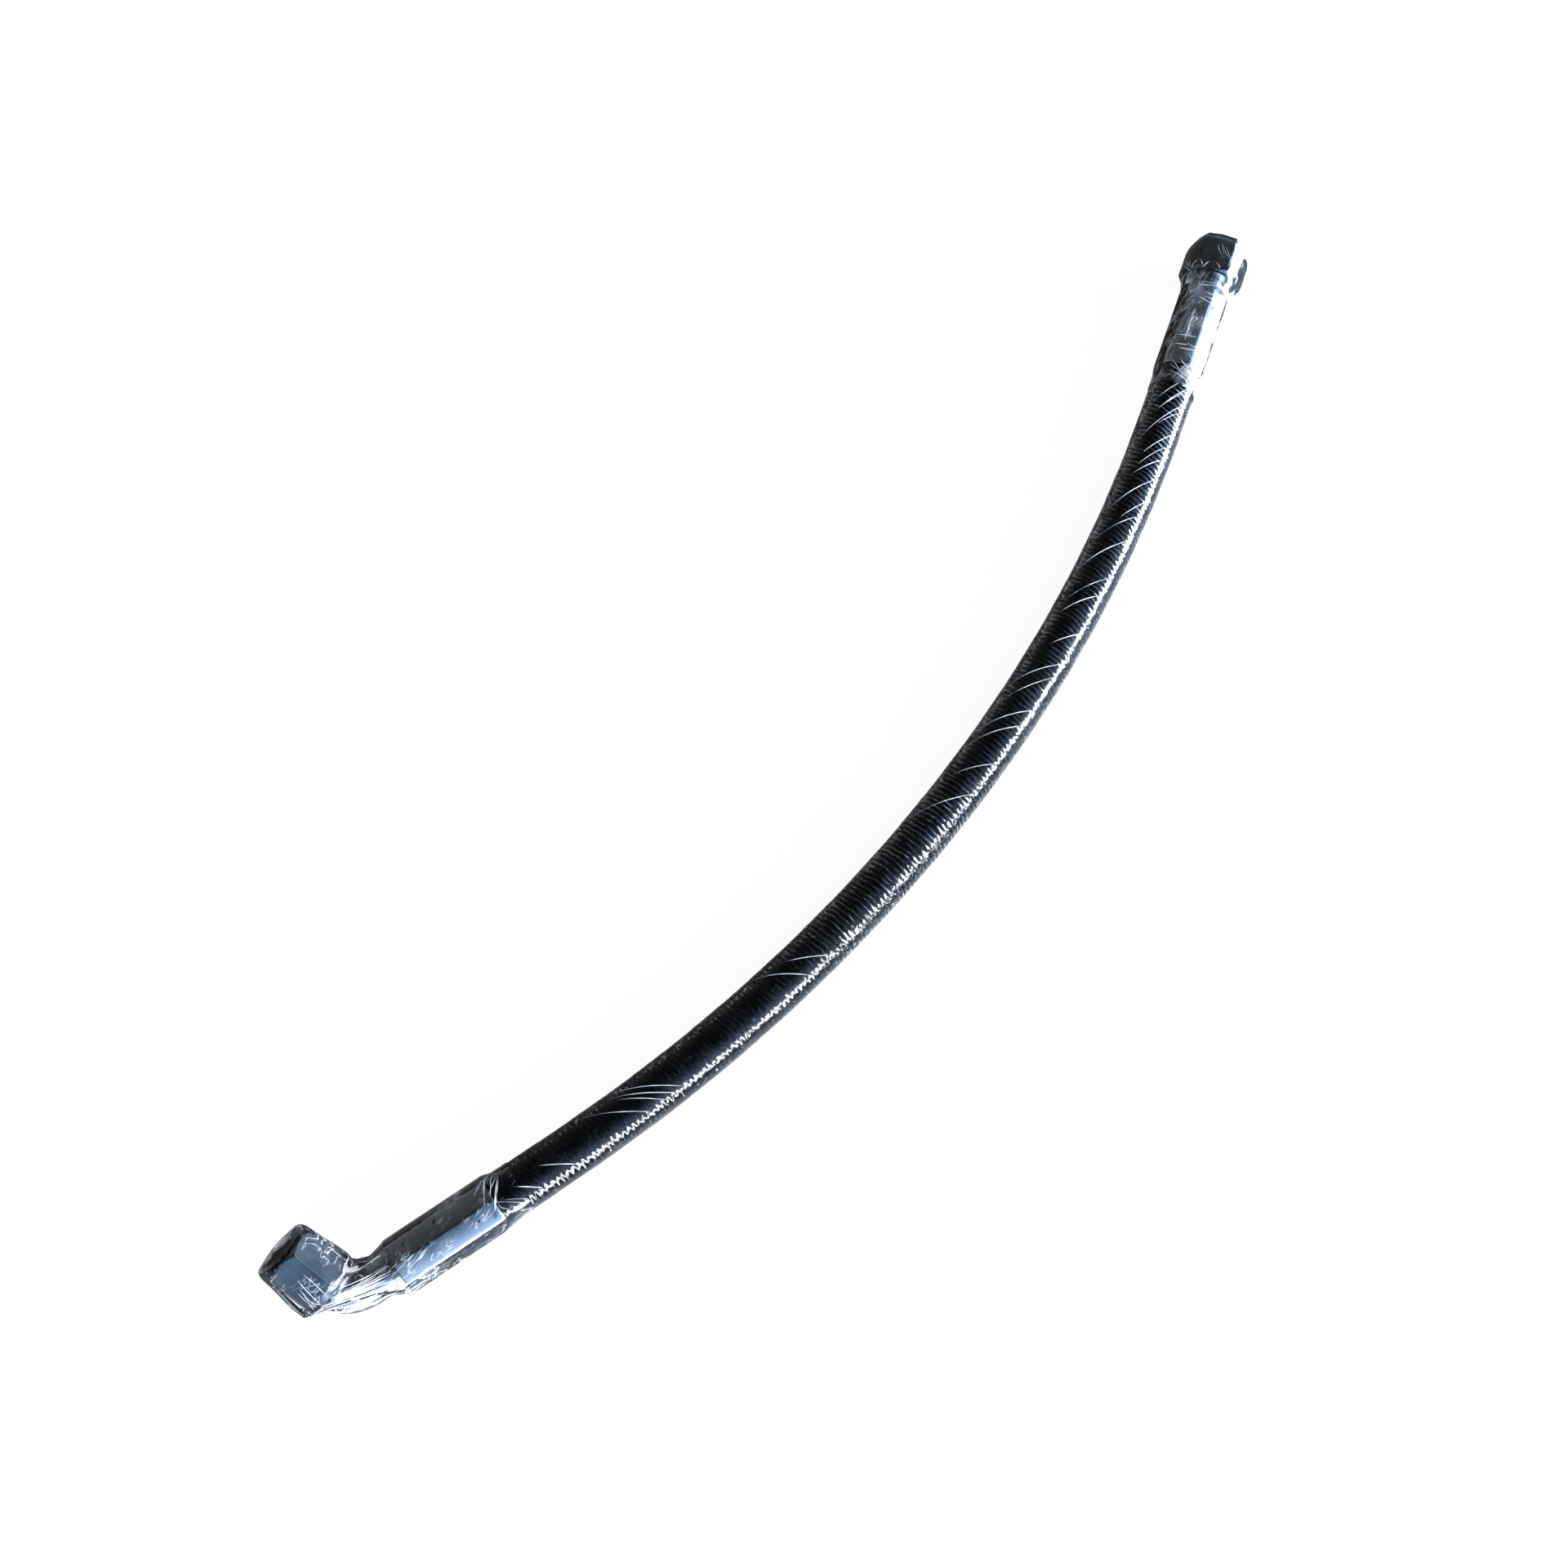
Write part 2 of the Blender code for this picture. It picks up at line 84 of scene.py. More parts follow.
# Fittings, as in the CAD
FERRULE_LEN = 0.066
FERRULE_AF = 0.0324
FERRULE_CORNER_R = 0.0173
FERRULE_CROWN = 0.30              # share of the way from flats to a round section
FERRULE_BORE_R = 0.01535
FERRULE_MOUTH_R = 0.0157
FERRULE_LIP_R = 0.0109
FERRULE_LIP_LEN = 0.0046
FERRULE_MOUTH_CHAMFER = 0.003
RIM_AT = (0.0, 0.0003, 0.0008, 0.0016)         # rings of a ferrule's rolled rims, from its ends
OUTER_RIM_IN = (0.0010, 0.0005, 0.0002, 0.0)   # how far in they are at the outer end
MOUTH_RIM_IN = (0.0007, 0.0004, 0.00015, 0.0)  # and at the mouth
STRAIGHT_FERRULE_ROLL = math.radians(17.0)
ELBOW_FERRULE_ROLL = math.radians(-3.0)   # the CAD has 5, the photograph shows the flats a little turned
STRAIGHT_NECK = 0.012
SHOULDER_END = 0.0046
TUBE_R = 0.0110
STEM_BORE_R = 0.0075
ELBOW_RUN = 0.0190
ELBOW_BEND = math.radians(75.0)
ELBOW_BEND_R = 0.021
ELBOW_LIFT = math.radians(27.0)
ELBOW_NUT_OVERLAP = 0.001
ELBOW_TUBE_END = 0.001
NUT_AF = 0.036
NUT_LEN = 0.031
NUT_FACE_R = 0.0176
NUT_BACK_R = 0.0168
NUT_FRONT_BEVEL = 0.0021
NUT_BACK_BEVEL = 0.0024
NUT_MOUTH_R = 0.0154
NUT_MOUTH_CHAMFER = 0.0015
NUT_CORNER_WEAR = 0.00012
NUT_END_RINGS = (0.0, 0.0003, 0.0007, 0.0011, 0.0015, 0.0019, 0.0024, 0.0030)   # from its ends
NUT_THREAD_R = 0.0139
THREAD_ROOT_R = 0.0150
THREAD_PITCH = 0.002
THREAD_RINGS = 6                  # in a pitch
NUT_SEAT_FRONT = 0.0093
NUT_SEAT_BACK = 0.0068
NUT_BORE_R = 0.0114
WIRE_GROOVE_BACK = 0.0030
WIRE_GROOVE_FRONT = 0.0054
NUT_WIRE_GROOVE_R = 0.0126
STRAIGHT_NUT_ROLL = math.radians(-6.0)   # the CAD has 0, the photograph shows it a little turned
ELBOW_NUT_ROLL = math.radians(42.0)

# Stretch film
FILM_T = 0.00012
FILM_HOSE_R = 0.01545
FILM_LEAST_Z = 0.00005            # film pressed flat where it lies on the floor
FILM_LAP = 0.046                  # length along the hose from one wrap's edge to the next
FILM_LAP_SLANT = 0.011            # how far an edge moves along in one turn
LOOSE_AT, LOOSE_HALF = -0.050, 0.055   # stretch of the hose where its film is loose, along x
FILM_SEAM_BACK = 0.0015           # behind a nut's back, where its film joins the neck's
SEAM_GAP = 0.0003                 # left between the two, so that the nut turns freely
STRAIGHT_SEAM_R = 0.0192
ELBOW_SEAM_R = 0.0230
TUBE_FILM_R = 0.0117              # film drawn tight over the bent tube
FERRULE_FILM_GAP = 0.00035
FILM_PAST_FERRULE = 0.016         # how far the fittings' film reaches onto the hose
FILM_RING_STEP = 0.0012
METAL_LEAST_Z = 0.0004            # corners of ferrules and nuts that would be lower are pressed flat


# ---------------------------------------------------------------- camera

def make_camera():
    forward = Vector((math.cos(HEADING) * math.cos(LOOKING_DOWN),
                      math.sin(HEADING) * math.cos(LOOKING_DOWN), -math.sin(LOOKING_DOWN)))
    data = bpy.data.cameras.new("photo_camera")
    data.lens = LENS
    camera = bpy.data.objects.new("photo_camera", data)
    camera.location = Vector(TARGET) - forward * DISTANCE
    camera.rotation_euler = forward.to_track_quat("-Z", "Y").to_euler()
    bpy.context.scene.collection.objects.link(camera)
    bpy.context.scene.camera = camera


make_camera()


# ---------------------------------------------------------------- routes

def ease(value):
    value = np.clip(value, 0.0, 1.0)
    return value * value * (3.0 - 2.0 * value)


def unit(vector):
    return vector / np.linalg.norm(vector)


class Path:
    """An axis with two directions across it, looked up by the length along it."""

    def __init__(self, lengths, centres, tops, sides):
        self.lengths = np.array(lengths)
        self.rows = np.hstack((centres, tops, sides))

    def at(self, length):
        row = [np.interp(length, self.lengths, self.rows[:, k]) for k in range(9)]
        return np.moveaxis(np.array(row), 0, -1)

    def place(self, length, angle, radius):
        """Points at that angle from the top and radius, by broadcasting."""
        length, angle, radius = np.broadcast_arrays(length, angle, radius)
        row = self.at(length)
        across = row[..., 3:6] * np.cos(angle)[..., None] + row[..., 6:9] * np.sin(angle)[..., None]
        return row[..., 0:3] + across * radius[..., None]


def hose_headings():
    """Heading, distance and place of every step of the exposed hose, as the CAD has them."""
    peak = HOSE_TURN / (HOSE_EXPOSED - CURVE_RAMP)
    heading = math.pi + HOSE_TURN / 2
    headings, track = [heading], [np.zeros(3)]
    for index in range(round(HOSE_EXPOSED / ROUTE_STEP)):
        distance = (index + 0.5) * ROUTE_STEP
        rise = min(distance, HOSE_EXPOSED - distance) / CURVE_RAMP
        heading -= peak * min(max(rise, 0.0), 1.0) * ROUTE_STEP
        step = np.array((math.cos(heading), math.sin(heading), 0.0)) * ROUTE_STEP
        track.append(track[-1] + step)
        headings.append(heading)
    track = np.array(track)
    track -= (track[0] + track[-1]) / 2
    return np.array(headings), track + FLOOR_SHIFT


def hose_path():
    headings, track = hose_headings()
    distance = np.arange(len(track)) * ROUTE_STEP
    track[:, 2] = (HOSE_AXIS_Z
                   + (STRAIGHT_AXIS_Z - HOSE_AXIS_Z) * ease(1.0 - distance / STRAIGHT_FALL)
                   + (ELBOW_AXIS_Z - HOSE_AXIS_Z)
                   * ease((distance - HOSE_EXPOSED + ELBOW_RISE) / ELBOW_RISE))
    along = np.column_stack((np.cos(headings), np.sin(headings), np.zeros(len(headings))))
    first = track[0] - along[0] * HOSE_INSIDE
    last = track[-1] + along[-1] * HOSE_INSIDE
    lengths = np.concatenate(([-HOSE_INSIDE], distance, [HOSE_EXPOSED + HOSE_INSIDE]))
    centres = np.vstack((first, track, last))
    along = np.vstack((along[0], along, along[-1]))
    tops = np.tile(UP, (len(lengths), 1))
    return Path(lengths, centres, tops, np.cross(tops, along)), along[0], along[-1], track


HOSE, START_DIR, END_DIR, TRACK = hose_path()
STRAIGHT_DIR = -START_DIR
STRAIGHT_ORIGIN = TRACK[0] + STRAIGHT_DIR * FERRULE_LEN
ELBOW_ORIGIN = TRACK[-1] + END_DIR * FERRULE_LEN


def line_path(origin, along, start, end):
    side = np.cross(along, UP)
    centres = np.array((origin + along * start, origin + along * end))
    return Path((start, end), centres, np.tile(np.cross(side, along), (2, 1)), np.tile(side, (2, 1)))


def bend_path():
    """Axis of the bent end, from behind its ferrule to past the nut's back."""
    level = np.cross(END_DIR, UP)
    inward = level * math.cos(ELBOW_LIFT) + UP * math.sin(ELBOW_LIFT)
    square = np.cross(END_DIR, inward)
    centre = ELBOW_ORIGIN + END_DIR * ELBOW_RUN + inward * ELBOW_BEND_R
    lengths, centres, tops, sides = [], [], [], []
    for turn, extra in [(0.0, -ELBOW_RUN - 0.1), *[(x, 0.0) for x in np.linspace(0, ELBOW_BEND, 25)],
                        (ELBOW_BEND, 0.04)]:
        along = END_DIR * math.cos(turn) + inward * math.sin(turn)
        across = inward * math.cos(turn) - END_DIR * math.sin(turn)
        lengths.append(ELBOW_RUN + ELBOW_BEND_R * turn + extra)
        centres.append(centre - across * ELBOW_BEND_R + along * extra)
        tops.append(across * np.dot(UP, inward) + square * np.dot(UP, square))
        sides.append(across * np.dot(level, inward) + square * np.dot(level, square))
    return Path(lengths, centres, tops, sides), along


STRAIGHT = line_path(STRAIGHT_ORIGIN, STRAIGHT_DIR, -0.12, 0.06)
BENT, ELBOW_OUT = bend_path()
ELBOW_NUT_BACK = ELBOW_RUN + ELBOW_BEND_R * ELBOW_BEND - ELBOW_NUT_OVERLAP
STRAIGHT_NUT = line_path(STRAIGHT_ORIGIN + STRAIGHT_DIR * STRAIGHT_NECK, STRAIGHT_DIR, -0.02, 0.06)
ELBOW_NUT = line_path(BENT.at(ELBOW_NUT_BACK)[:3], ELBOW_OUT, -0.02, 0.06)


# ---------------------------------------------------------------- mesh making

def angles(count):
    return np.arange(count) * math.tau / count


def seeded(seed):
    return np.random.default_rng(seed)


def ripple(along, angle, seed, wave, turns, terms=7):
    """Smooth noise from -1 to 1 that joins up round the axis: wave is its length along the axis."""
    draw = seeded(seed)
    total = 0.0
    for _ in range(terms):
        length = wave * draw.uniform(0.6, 1.8)
        round_it = draw.integers(-turns, turns + 1)
        total = total + np.sin(math.tau * along / length + round_it * angle + draw.uniform(0, math.tau))
    return total / terms


def finish_mesh(name, points, faces, body, material, replaced=(), sharp=30.0):
    mesh = bpy.data.meshes.new(name)
    mesh.from_pydata(points, [], faces)
    bm = bmesh.new()
    bm.from_mesh(mesh)
    bmesh.ops.recalc_face_normals(bm, faces=bm.faces)
    bm.to_mesh(mesh)
    bm.free()
    mesh.shade_smooth()
    mesh.set_sharp_from_angle(angle=math.radians(sharp))
    mesh.materials.append(material)
    item = bpy.data.objects.new(name, mesh)
    bpy.context.scene.collection.objects.link(item)
    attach(item, body)
    if replaced:
        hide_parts(*replaced)
    return item


def grid_faces(rows, columns, first, rows_closed):
    """Quads over a grid of points whose columns go round and join up."""
    i = np.arange(rows if rows_closed else rows - 1)[:, None]
    j = np.arange(columns)[None, :]
    below, right = (i + 1) % rows, (j + 1) % columns
    quads = np.stack(np.broadcast_arrays(i * columns + j, i * columns + right,
                                         below * columns + right, below * columns + j), -1)
    return (quads.reshape(-1, 4) + first).tolist()


def shell(name, outer, inner, body, material, slot, replaced=(), sharp=30.0, poles=None):
    """A closed wall between two grids of rings.  With poles, its last rings close over the two points."""
    columns = outer.shape[1]
    if poles is None:
        rings = np.concatenate((outer, inner[::-1]))
        points = rings.reshape(-1, 3).tolist()
        return finish_mesh(name, points, grid_faces(len(rings), columns, 0, True), body, material,
                           replaced, sharp)
    rings = np.concatenate((outer[::-1], inner))
    points = rings.reshape(-1, 3).tolist() + [list(poles[0]), list(poles[1])]
    faces = grid_faces(len(rings), columns, 0, False)
    top, last = len(points) - 2, (len(rings) - 1) * columns
    for j in range(columns):
        k = (j + 1) % columns
        faces.append([top, k, j])
        faces.append([top + 1, last + j, last + k])
    return finish_mesh(name, points, faces, body, material, replaced, sharp)


def polygon_r(angle, sides, across, flat_at, limit):
    """Radius of a regular prism, cut to the limit at its corners."""
    step = math.tau / sides
    off = (angle - flat_at + step / 2) % step - step / 2
    return np.minimum(across / 2 / np.cos(off), limit)


# ---------------------------------------------------------------- node materials

class Shader:
    """The node tree of a material or a world, with short calls for its nodes."""

    def __init__(self, data, kind):
        self.data = data
        self.data.use_nodes = True
        self.tree = self.data.node_tree
        self.tree.nodes.clear()
        self.out = self.tree.nodes.new("ShaderNodeOutput" + kind)

    def node(self, kind, sockets=None, **properties):
        made = self.tree.nodes.new("ShaderNode" + kind)
        for key, value in properties.items():
            setattr(made, key, value)
        for key, value in (sockets or {}).items():
            self.feed(made.inputs[key], value)
        return made

    def feed(self, socket, value):
        if isinstance(value, bpy.types.NodeSocket):
            self.tree.links.new(value, socket)
        elif isinstance(value, tuple) and len(value) == 3 and socket.type == "RGBA":
            socket.default_value = (*value, 1.0)
        else:
            socket.default_value = value

    def coordinate(self, scale=(1.0, 1.0, 1.0), turn=(0.0, 0.0, 0.0)):
        place = self.node("TexCoord").outputs["Object"]
        return self.node("Mapping", {"Vector": place, "Scale": scale, "Rotation": turn}).outputs[0]

    def noise(self, vector, scale, detail=3.0, rough=0.5, warp=0.0):
        return self.node("TexNoise", {"Vector": vector, "Scale": scale, "Detail": detail,
                                      "Roughness": rough, "Distortion": warp}).outputs["Fac"]

    def level(self, value, low, high, start=0.0, end=1.0):
        """Value mapped from low..high to start..end, held at both ends."""
        return self.node("MapRange", {0: value, 1: low, 2: high, 3: start, 4: end}).outputs[0]

    def math(self, operation, first, second=0.0):
        return self.node("Math", {0: first, 1: second}, operation=operation).outputs[0]

    def mix_colour(self, factor, first, second):
        made = self.node("Mix", data_type="RGBA")
        self.feed(made.inputs["Factor"], factor)
        self.feed(made.inputs[6], first)
        self.feed(made.inputs[7], second)
        return made.outputs[2]

    def bump(self, height, strength, distance, normal=None):
        sockets = {"Height": height, "Strength": strength, "Distance": distance}
        if normal is not None:
            sockets["Normal"] = normal
        return self.node("Bump", sockets).outputs[0]

    def finish(self, surface):
        self.tree.links.new(surface, self.out.inputs["Surface"])
        return self.data


class Material(Shader):
    """A node material."""

    def __init__(self, name):
        super().__init__(bpy.data.materials.new(name), "Material")


def tight_wrinkles(m):
    """Normal of film drawn tight on the hose: fine ticks round it, deeper where the film is loose."""
    ticks = m.node("TexWave", {"Vector": m.coordinate(), "Scale": 92.0, "Distortion": 2.8, "Detail": 1.0,
                               "Detail Scale": 1.3}).outputs["Fac"]
    fine = m.noise(m.coordinate((1.0, 0.35, 0.35)), 480.0, 1.0)
    height = m.math("ADD", m.math("MULTIPLY", ticks, 0.45), m.math("MULTIPLY", fine, 0.55))
    along = m.node("SeparateXYZ", {0: m.node("TexCoord").outputs["Object"]}).outputs[0]
    apart = m.math("ABSOLUTE", m.math("SUBTRACT", along, LOOSE_AT))
    return m.bump(height, m.level(apart, LOOSE_HALF, 1.6 * LOOSE_HALF, 1.0, 0.50), 0.0016)


def cover_material():
    """Black cover rubber under tight clear film."""
    m = Material("cover_rubber")
    patches = m.noise(m.coordinate(), 14.0, 3.0)
    weave = m.noise(m.coordinate((0.3, 1.0, 1.0)), 900.0, 2.0)
    colour = m.mix_colour(m.level(patches, 0.35, 0.7), (0.0022, 0.0022, 0.0026), (0.0050, 0.0044, 0.0044))
    normal = m.bump(weave, 0.06, 0.0004, tight_wrinkles(m))
    shader = m.node("BsdfPrincipled", {
        "Base Color": colour, "Roughness": m.level(patches, 0.3, 0.75, 0.07, 0.12),
        "Normal": normal, "Specular IOR Level": 0.32})
    return m.finish(shader.outputs[0])


def rubber_material(name, low, high, roughness):
    m = Material(name)
    patches = m.noise(m.coordinate(), 60.0, 4.0)
    grain = m.noise(m.coordinate(), 1500.0, 2.0)
    shader = m.node("BsdfPrincipled", {
        "Base Color": m.mix_colour(m.level(patches, 0.3, 0.7), low, high),
        "Roughness": m.level(patches, 0.3, 0.7, roughness - 0.08, roughness + 0.08),
        "Normal": m.bump(grain, 0.25, 0.0002)})
    return m.finish(shader.outputs[0])


def metal_material(name, low, high, smooth, rough, scratch=0.10, dirt=0.0):
    """Plated steel: cloudy tone, fine scratches, and dark specks where dirt is above 0."""
    m = Material(name)
    cloud = m.noise(m.coordinate(), 55.0, 4.0, 0.6)
    lines = m.noise(m.coordinate((1.0, 9.0, 9.0)), 260.0, 3.0)
    grain = m.noise(m.coordinate(), 1800.0, 2.0)
    colour = m.mix_colour(m.level(cloud, 0.35, 0.68), low, high)
    if dirt:
        specks = m.noise(m.coordinate(), 170.0, 1.0, 0.4, 0.6)
        colour = m.mix_colour(m.level(specks, 0.70, 0.76, 0.0, dirt), colour, (0.02, 0.022, 0.025))
    normal = m.bump(lines, scratch, 0.0003)
    normal = m.bump(grain, 0.05, 0.0001, normal)
    shader = m.node("BsdfPrincipled", {
        "Base Color": colour, "Metallic": 1.0, "Normal": normal,
        "Roughness": m.level(cloud, 0.3, 0.7, smooth, rough)})
    return m.finish(shader.outputs[0])


def braid_material():
    m = Material("brass_coated_wire")
    across = m.node("TexWave", {"Vector": m.coordinate(turn=(0.0, 0.0, math.radians(54.0))),
                                "Scale": 260.0}).outputs["Fac"]
    back = m.node("TexWave", {"Vector": m.coordinate(turn=(0.0, 0.0, math.radians(-54.0))),
                              "Scale": 260.0}).outputs["Fac"]
    weave = m.math("MAXIMUM", across, back)
    shader = m.node("BsdfPrincipled", {
        "Base Color": m.mix_colour(weave, (0.20, 0.13, 0.06), (0.62, 0.47, 0.25)), "Metallic": 1.0,
        "Roughness": m.level(weave, 0.0, 1.0, 0.5, 0.3), "Normal": m.bump(weave, 0.6, 0.0003)})
    return m.finish(shader.outputs[0])


def still_film(m):
    """Normal of film drawn smooth, with a few soft waves."""
    return m.bump(m.noise(m.coordinate(), 90.0, 1.0), 0.25, 0.0012)


FILM_IOR = 1.25                   # of the two sides of each skin together


def film_material(name, streaks, haze, scale, stretch, normal_of=None, clarity=(0.985, 0.99, 1.0)):
    """Clear stretch film that mirrors at its surface.

    Its fine creases are white by streaks, and its patches by haze.  Stretch draws the creases out.
    """
    m = Material(name)
    creases = m.noise(m.coordinate(stretch), scale, 2.0, 0.6, 0.4)
    patches = m.noise(m.coordinate(), 60.0, 2.0)
    line = m.level(m.math("ABSOLUTE", m.math("SUBTRACT", creases, 0.5)), 0.0, 0.022, streaks, 0.0)
    line = m.math("MULTIPLY", line, m.level(patches, 0.42, 0.58))
    white_share = m.math("MINIMUM", m.math("ADD", line, m.level(patches, 0.5, 0.75, 0.0, haze)), 1.0)
    normal = normal_of(m) if normal_of else m.bump(creases, 0.30, 0.0010)
    mirror = m.node("BsdfGlossy", {"Color": (0.95, 0.97, 1.0), "Roughness": 0.08, "Normal": normal})
    clear = m.node("BsdfTransparent", {"Color": clarity})
    edge = m.node("Fresnel", {"IOR": FILM_IOR, "Normal": normal}).outputs[0]
    glaze = m.node("MixShader", {0: edge, 1: clear.outputs[0], 2: mirror.outputs[0]})
    white = m.node("BsdfPrincipled", {"Base Color": (0.80, 0.85, 0.90), "Roughness": 0.30,
                                      "Normal": normal})
    return m.finish(m.node("MixShader", {0: white_share, 1: glaze.outputs[0],
                                         2: white.outputs[0]}).outputs[0])


def fold_material():
    """A fold is several layers of film, hazy white and glossy."""
    m = Material("stretch_film_fold")
    patches = m.noise(m.coordinate(), 160.0, 2.0)
    white = m.node("BsdfPrincipled", {"Base Color": (0.94, 0.96, 0.98), "Roughness": 0.18,
                                      "Specular IOR Level": 0.6})
    clear = m.node("BsdfTransparent", {"Color": (0.97, 0.98, 1.0)})
    return m.finish(m.node("MixShader", {0: m.level(patches, 0.35, 0.60, 0.45, 0.95),
                                         1: clear.outputs[0], 2: white.outputs[0]}).outputs[0])


COVER = cover_material()
ZINC = metal_material("bright_zinc", (0.62, 0.68, 0.73), (0.80, 0.85, 0.88), 0.16, 0.28, dirt=0.85)
# The nuts' plating is the ferrules' zinc, darkened: painted shade, so that their flats read dark
SHADE_DARKENED_NUT_METAL = metal_material("bright_zinc_nut", (0.20, 0.26, 0.31), (0.30, 0.36, 0.41), 0.06, 0.14)
# The bent end's nut gets a still darker copy of the same zinc: deeper painted shade, not a duller finish
DEEP_SHADE_NUT_METAL = metal_material("bright_zinc_nut_dull", (0.09, 0.11, 0.12), (0.15, 0.18, 0.19),
                               0.12, 0.22)
BORE_ZINC = metal_material("bright_zinc_turned", (0.40, 0.43, 0.46), (0.58, 0.62, 0.66), 0.22, 0.38)
FILM = film_material("stretch_film", streaks=0.02, haze=0.003, scale=300.0,
                     stretch=(0.35, 1.0, 1.0), normal_of=tight_wrinkles)
FITTING_FILM = film_material("stretch_film_fitting", streaks=0.80, haze=0.38, scale=150.0,
                             stretch=(0.30, 1.0, 1.0))
CLEAR_FILM = film_material("stretch_film_clear", streaks=0.07, haze=0.002, scale=120.0,
                           stretch=(0.5, 1.0, 1.0), normal_of=still_film)
CREASED_FILM = film_material("stretch_film_creased", streaks=0.55, haze=0.05, scale=110.0,
                             stretch=(0.5, 1.0, 1.0), normal_of=still_film)
DENSE_FILM = film_material("stretch_film_layers", streaks=0.45, haze=0.05, scale=150.0,
                           stretch=(0.30, 1.0, 1.0), clarity=(0.93, 0.93, 0.94))
FOLD = fold_material()


def dress_cad_nodes():
    """The CAD nodes that stay get their own materials."""
    rubber = rubber_material("tube_rubber", (0.010, 0.010, 0.010), (0.020, 0.019, 0.018), 0.60)
    layer = rubber_material("insulating_rubber", (0.024, 0.022, 0.020), (0.040, 0.036, 0.032), 0.70)
    seal = rubber_material("nitrile_rubber", (0.008, 0.008, 0.009), (0.016, 0.016, 0.017), 0.40)
    braid = braid_material()
    wire = metal_material("spring_wire", (0.34, 0.35, 0.37), (0.50, 0.51, 0.53), 0.25, 0.35)
    chosen = {
        "hose_inner_tube": rubber, "hose_inner_braid": braid, "hose_middle_rubber": layer,
        "hose_outer_braid": braid, "straight_stem": BORE_ZINC, "elbow_insert": BORE_ZINC,
        "elbow_cone_head": BORE_ZINC, "straight_nut_snap_wire": wire, "elbow_nut_snap_wire": wire,
        "straight_cone_o_ring": seal, "elbow_cone_o_ring": seal,
    }
    for name, material in chosen.items():
        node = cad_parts[name]
        for index in range(max(1, len(node.material_slots))):
            if not node.material_slots:
                node.data.materials.append(material)
            node.material_slots[index].material = material


dress_cad_nodes()


# ---------------------------------------------------------------- the hose

HOSE_SIDES = 72
HOSE_RING_STEP = 0.0015
BORE_RING_STEP = 0.012


def spaced(start, end, step):
    return np.linspace(start, end, round((end - start) / step) + 1)


def make_hose():
    around = angles(HOSE_SIDES)[None, :]
    at = spaced(-HOSE_INSIDE, HOSE_EXPOSED + HOSE_INSIDE, HOSE_RING_STEP)
    free = ease(at / 0.01) * ease((HOSE_EXPOSED - at) / 0.01)
    swell = 0.00008 * ripple(at[:, None], around, 11, 0.011, 5) * free[:, None]
    outer = HOSE.place(at[:, None], around, HOSE_R + swell)
    bore_at = spaced(at[0], at[-1], BORE_RING_STEP)
    inner = HOSE.place(bore_at[:, None], around, HOSE_BORE_R)
    hose = shell("hose_cover_tube", outer, inner, "hose", COVER, "cover_rubber", ("hose_cover",), 40.0)
    return hose, HOSE.at(at)[:, :3]


hose, hose_line = make_hose()


# ---------------------------------------------------------------- ferrules, nuts and the bent tube

FERRULE_SIDES = 192
NUT_SIDES = 240


def ferrule_r(around, roll):
    """Eight flats, a little crowned."""
    flats = polygon_r(around, 8, FERRULE_AF, roll + math.pi / 8, FERRULE_CORNER_R)
    return flats + (FERRULE_CORNER_R - flats) * FERRULE_CROWN


def make_ferrule(name, path, roll):
    """Crimped ferrule with a rolled rim at its mouth."""
    around = angles(FERRULE_SIDES)
    flats = ferrule_r(around, roll)
    rim = np.array(RIM_AT)
    mouth_rim = (FERRULE_LEN - rim)[::-1]
    back = np.concatenate((rim[:-1], np.linspace(rim[-1], mouth_rim[0], 44), mouth_rim[1:]))
    inset = np.interp(back, np.concatenate((rim, mouth_rim)), OUTER_RIM_IN + MOUTH_RIM_IN[::-1])
    at = -back
    dish = 0.00006 * ripple(at[:, None], around[None, :], 5, 0.02, 4)
    outer = path.place(at[:, None], around[None, :], flats[None, :] - inset[:, None] + dish)
    outer[..., 2] = np.maximum(outer[..., 2], METAL_LEAST_Z)
    bore = [(0.0, FERRULE_LIP_R), (-FERRULE_LIP_LEN, FERRULE_LIP_R),
            (-FERRULE_LIP_LEN, FERRULE_BORE_R), (-FERRULE_LEN + FERRULE_MOUTH_CHAMFER, FERRULE_BORE_R),
            (-FERRULE_LEN, FERRULE_MOUTH_R)]
    inner = np.stack([path.place(length, around, radius) for length, radius in bore])
    return shell(name, outer, inner, "hose", ZINC, "bright_zinc", (name.replace("_crimped", ""),), 25.0)


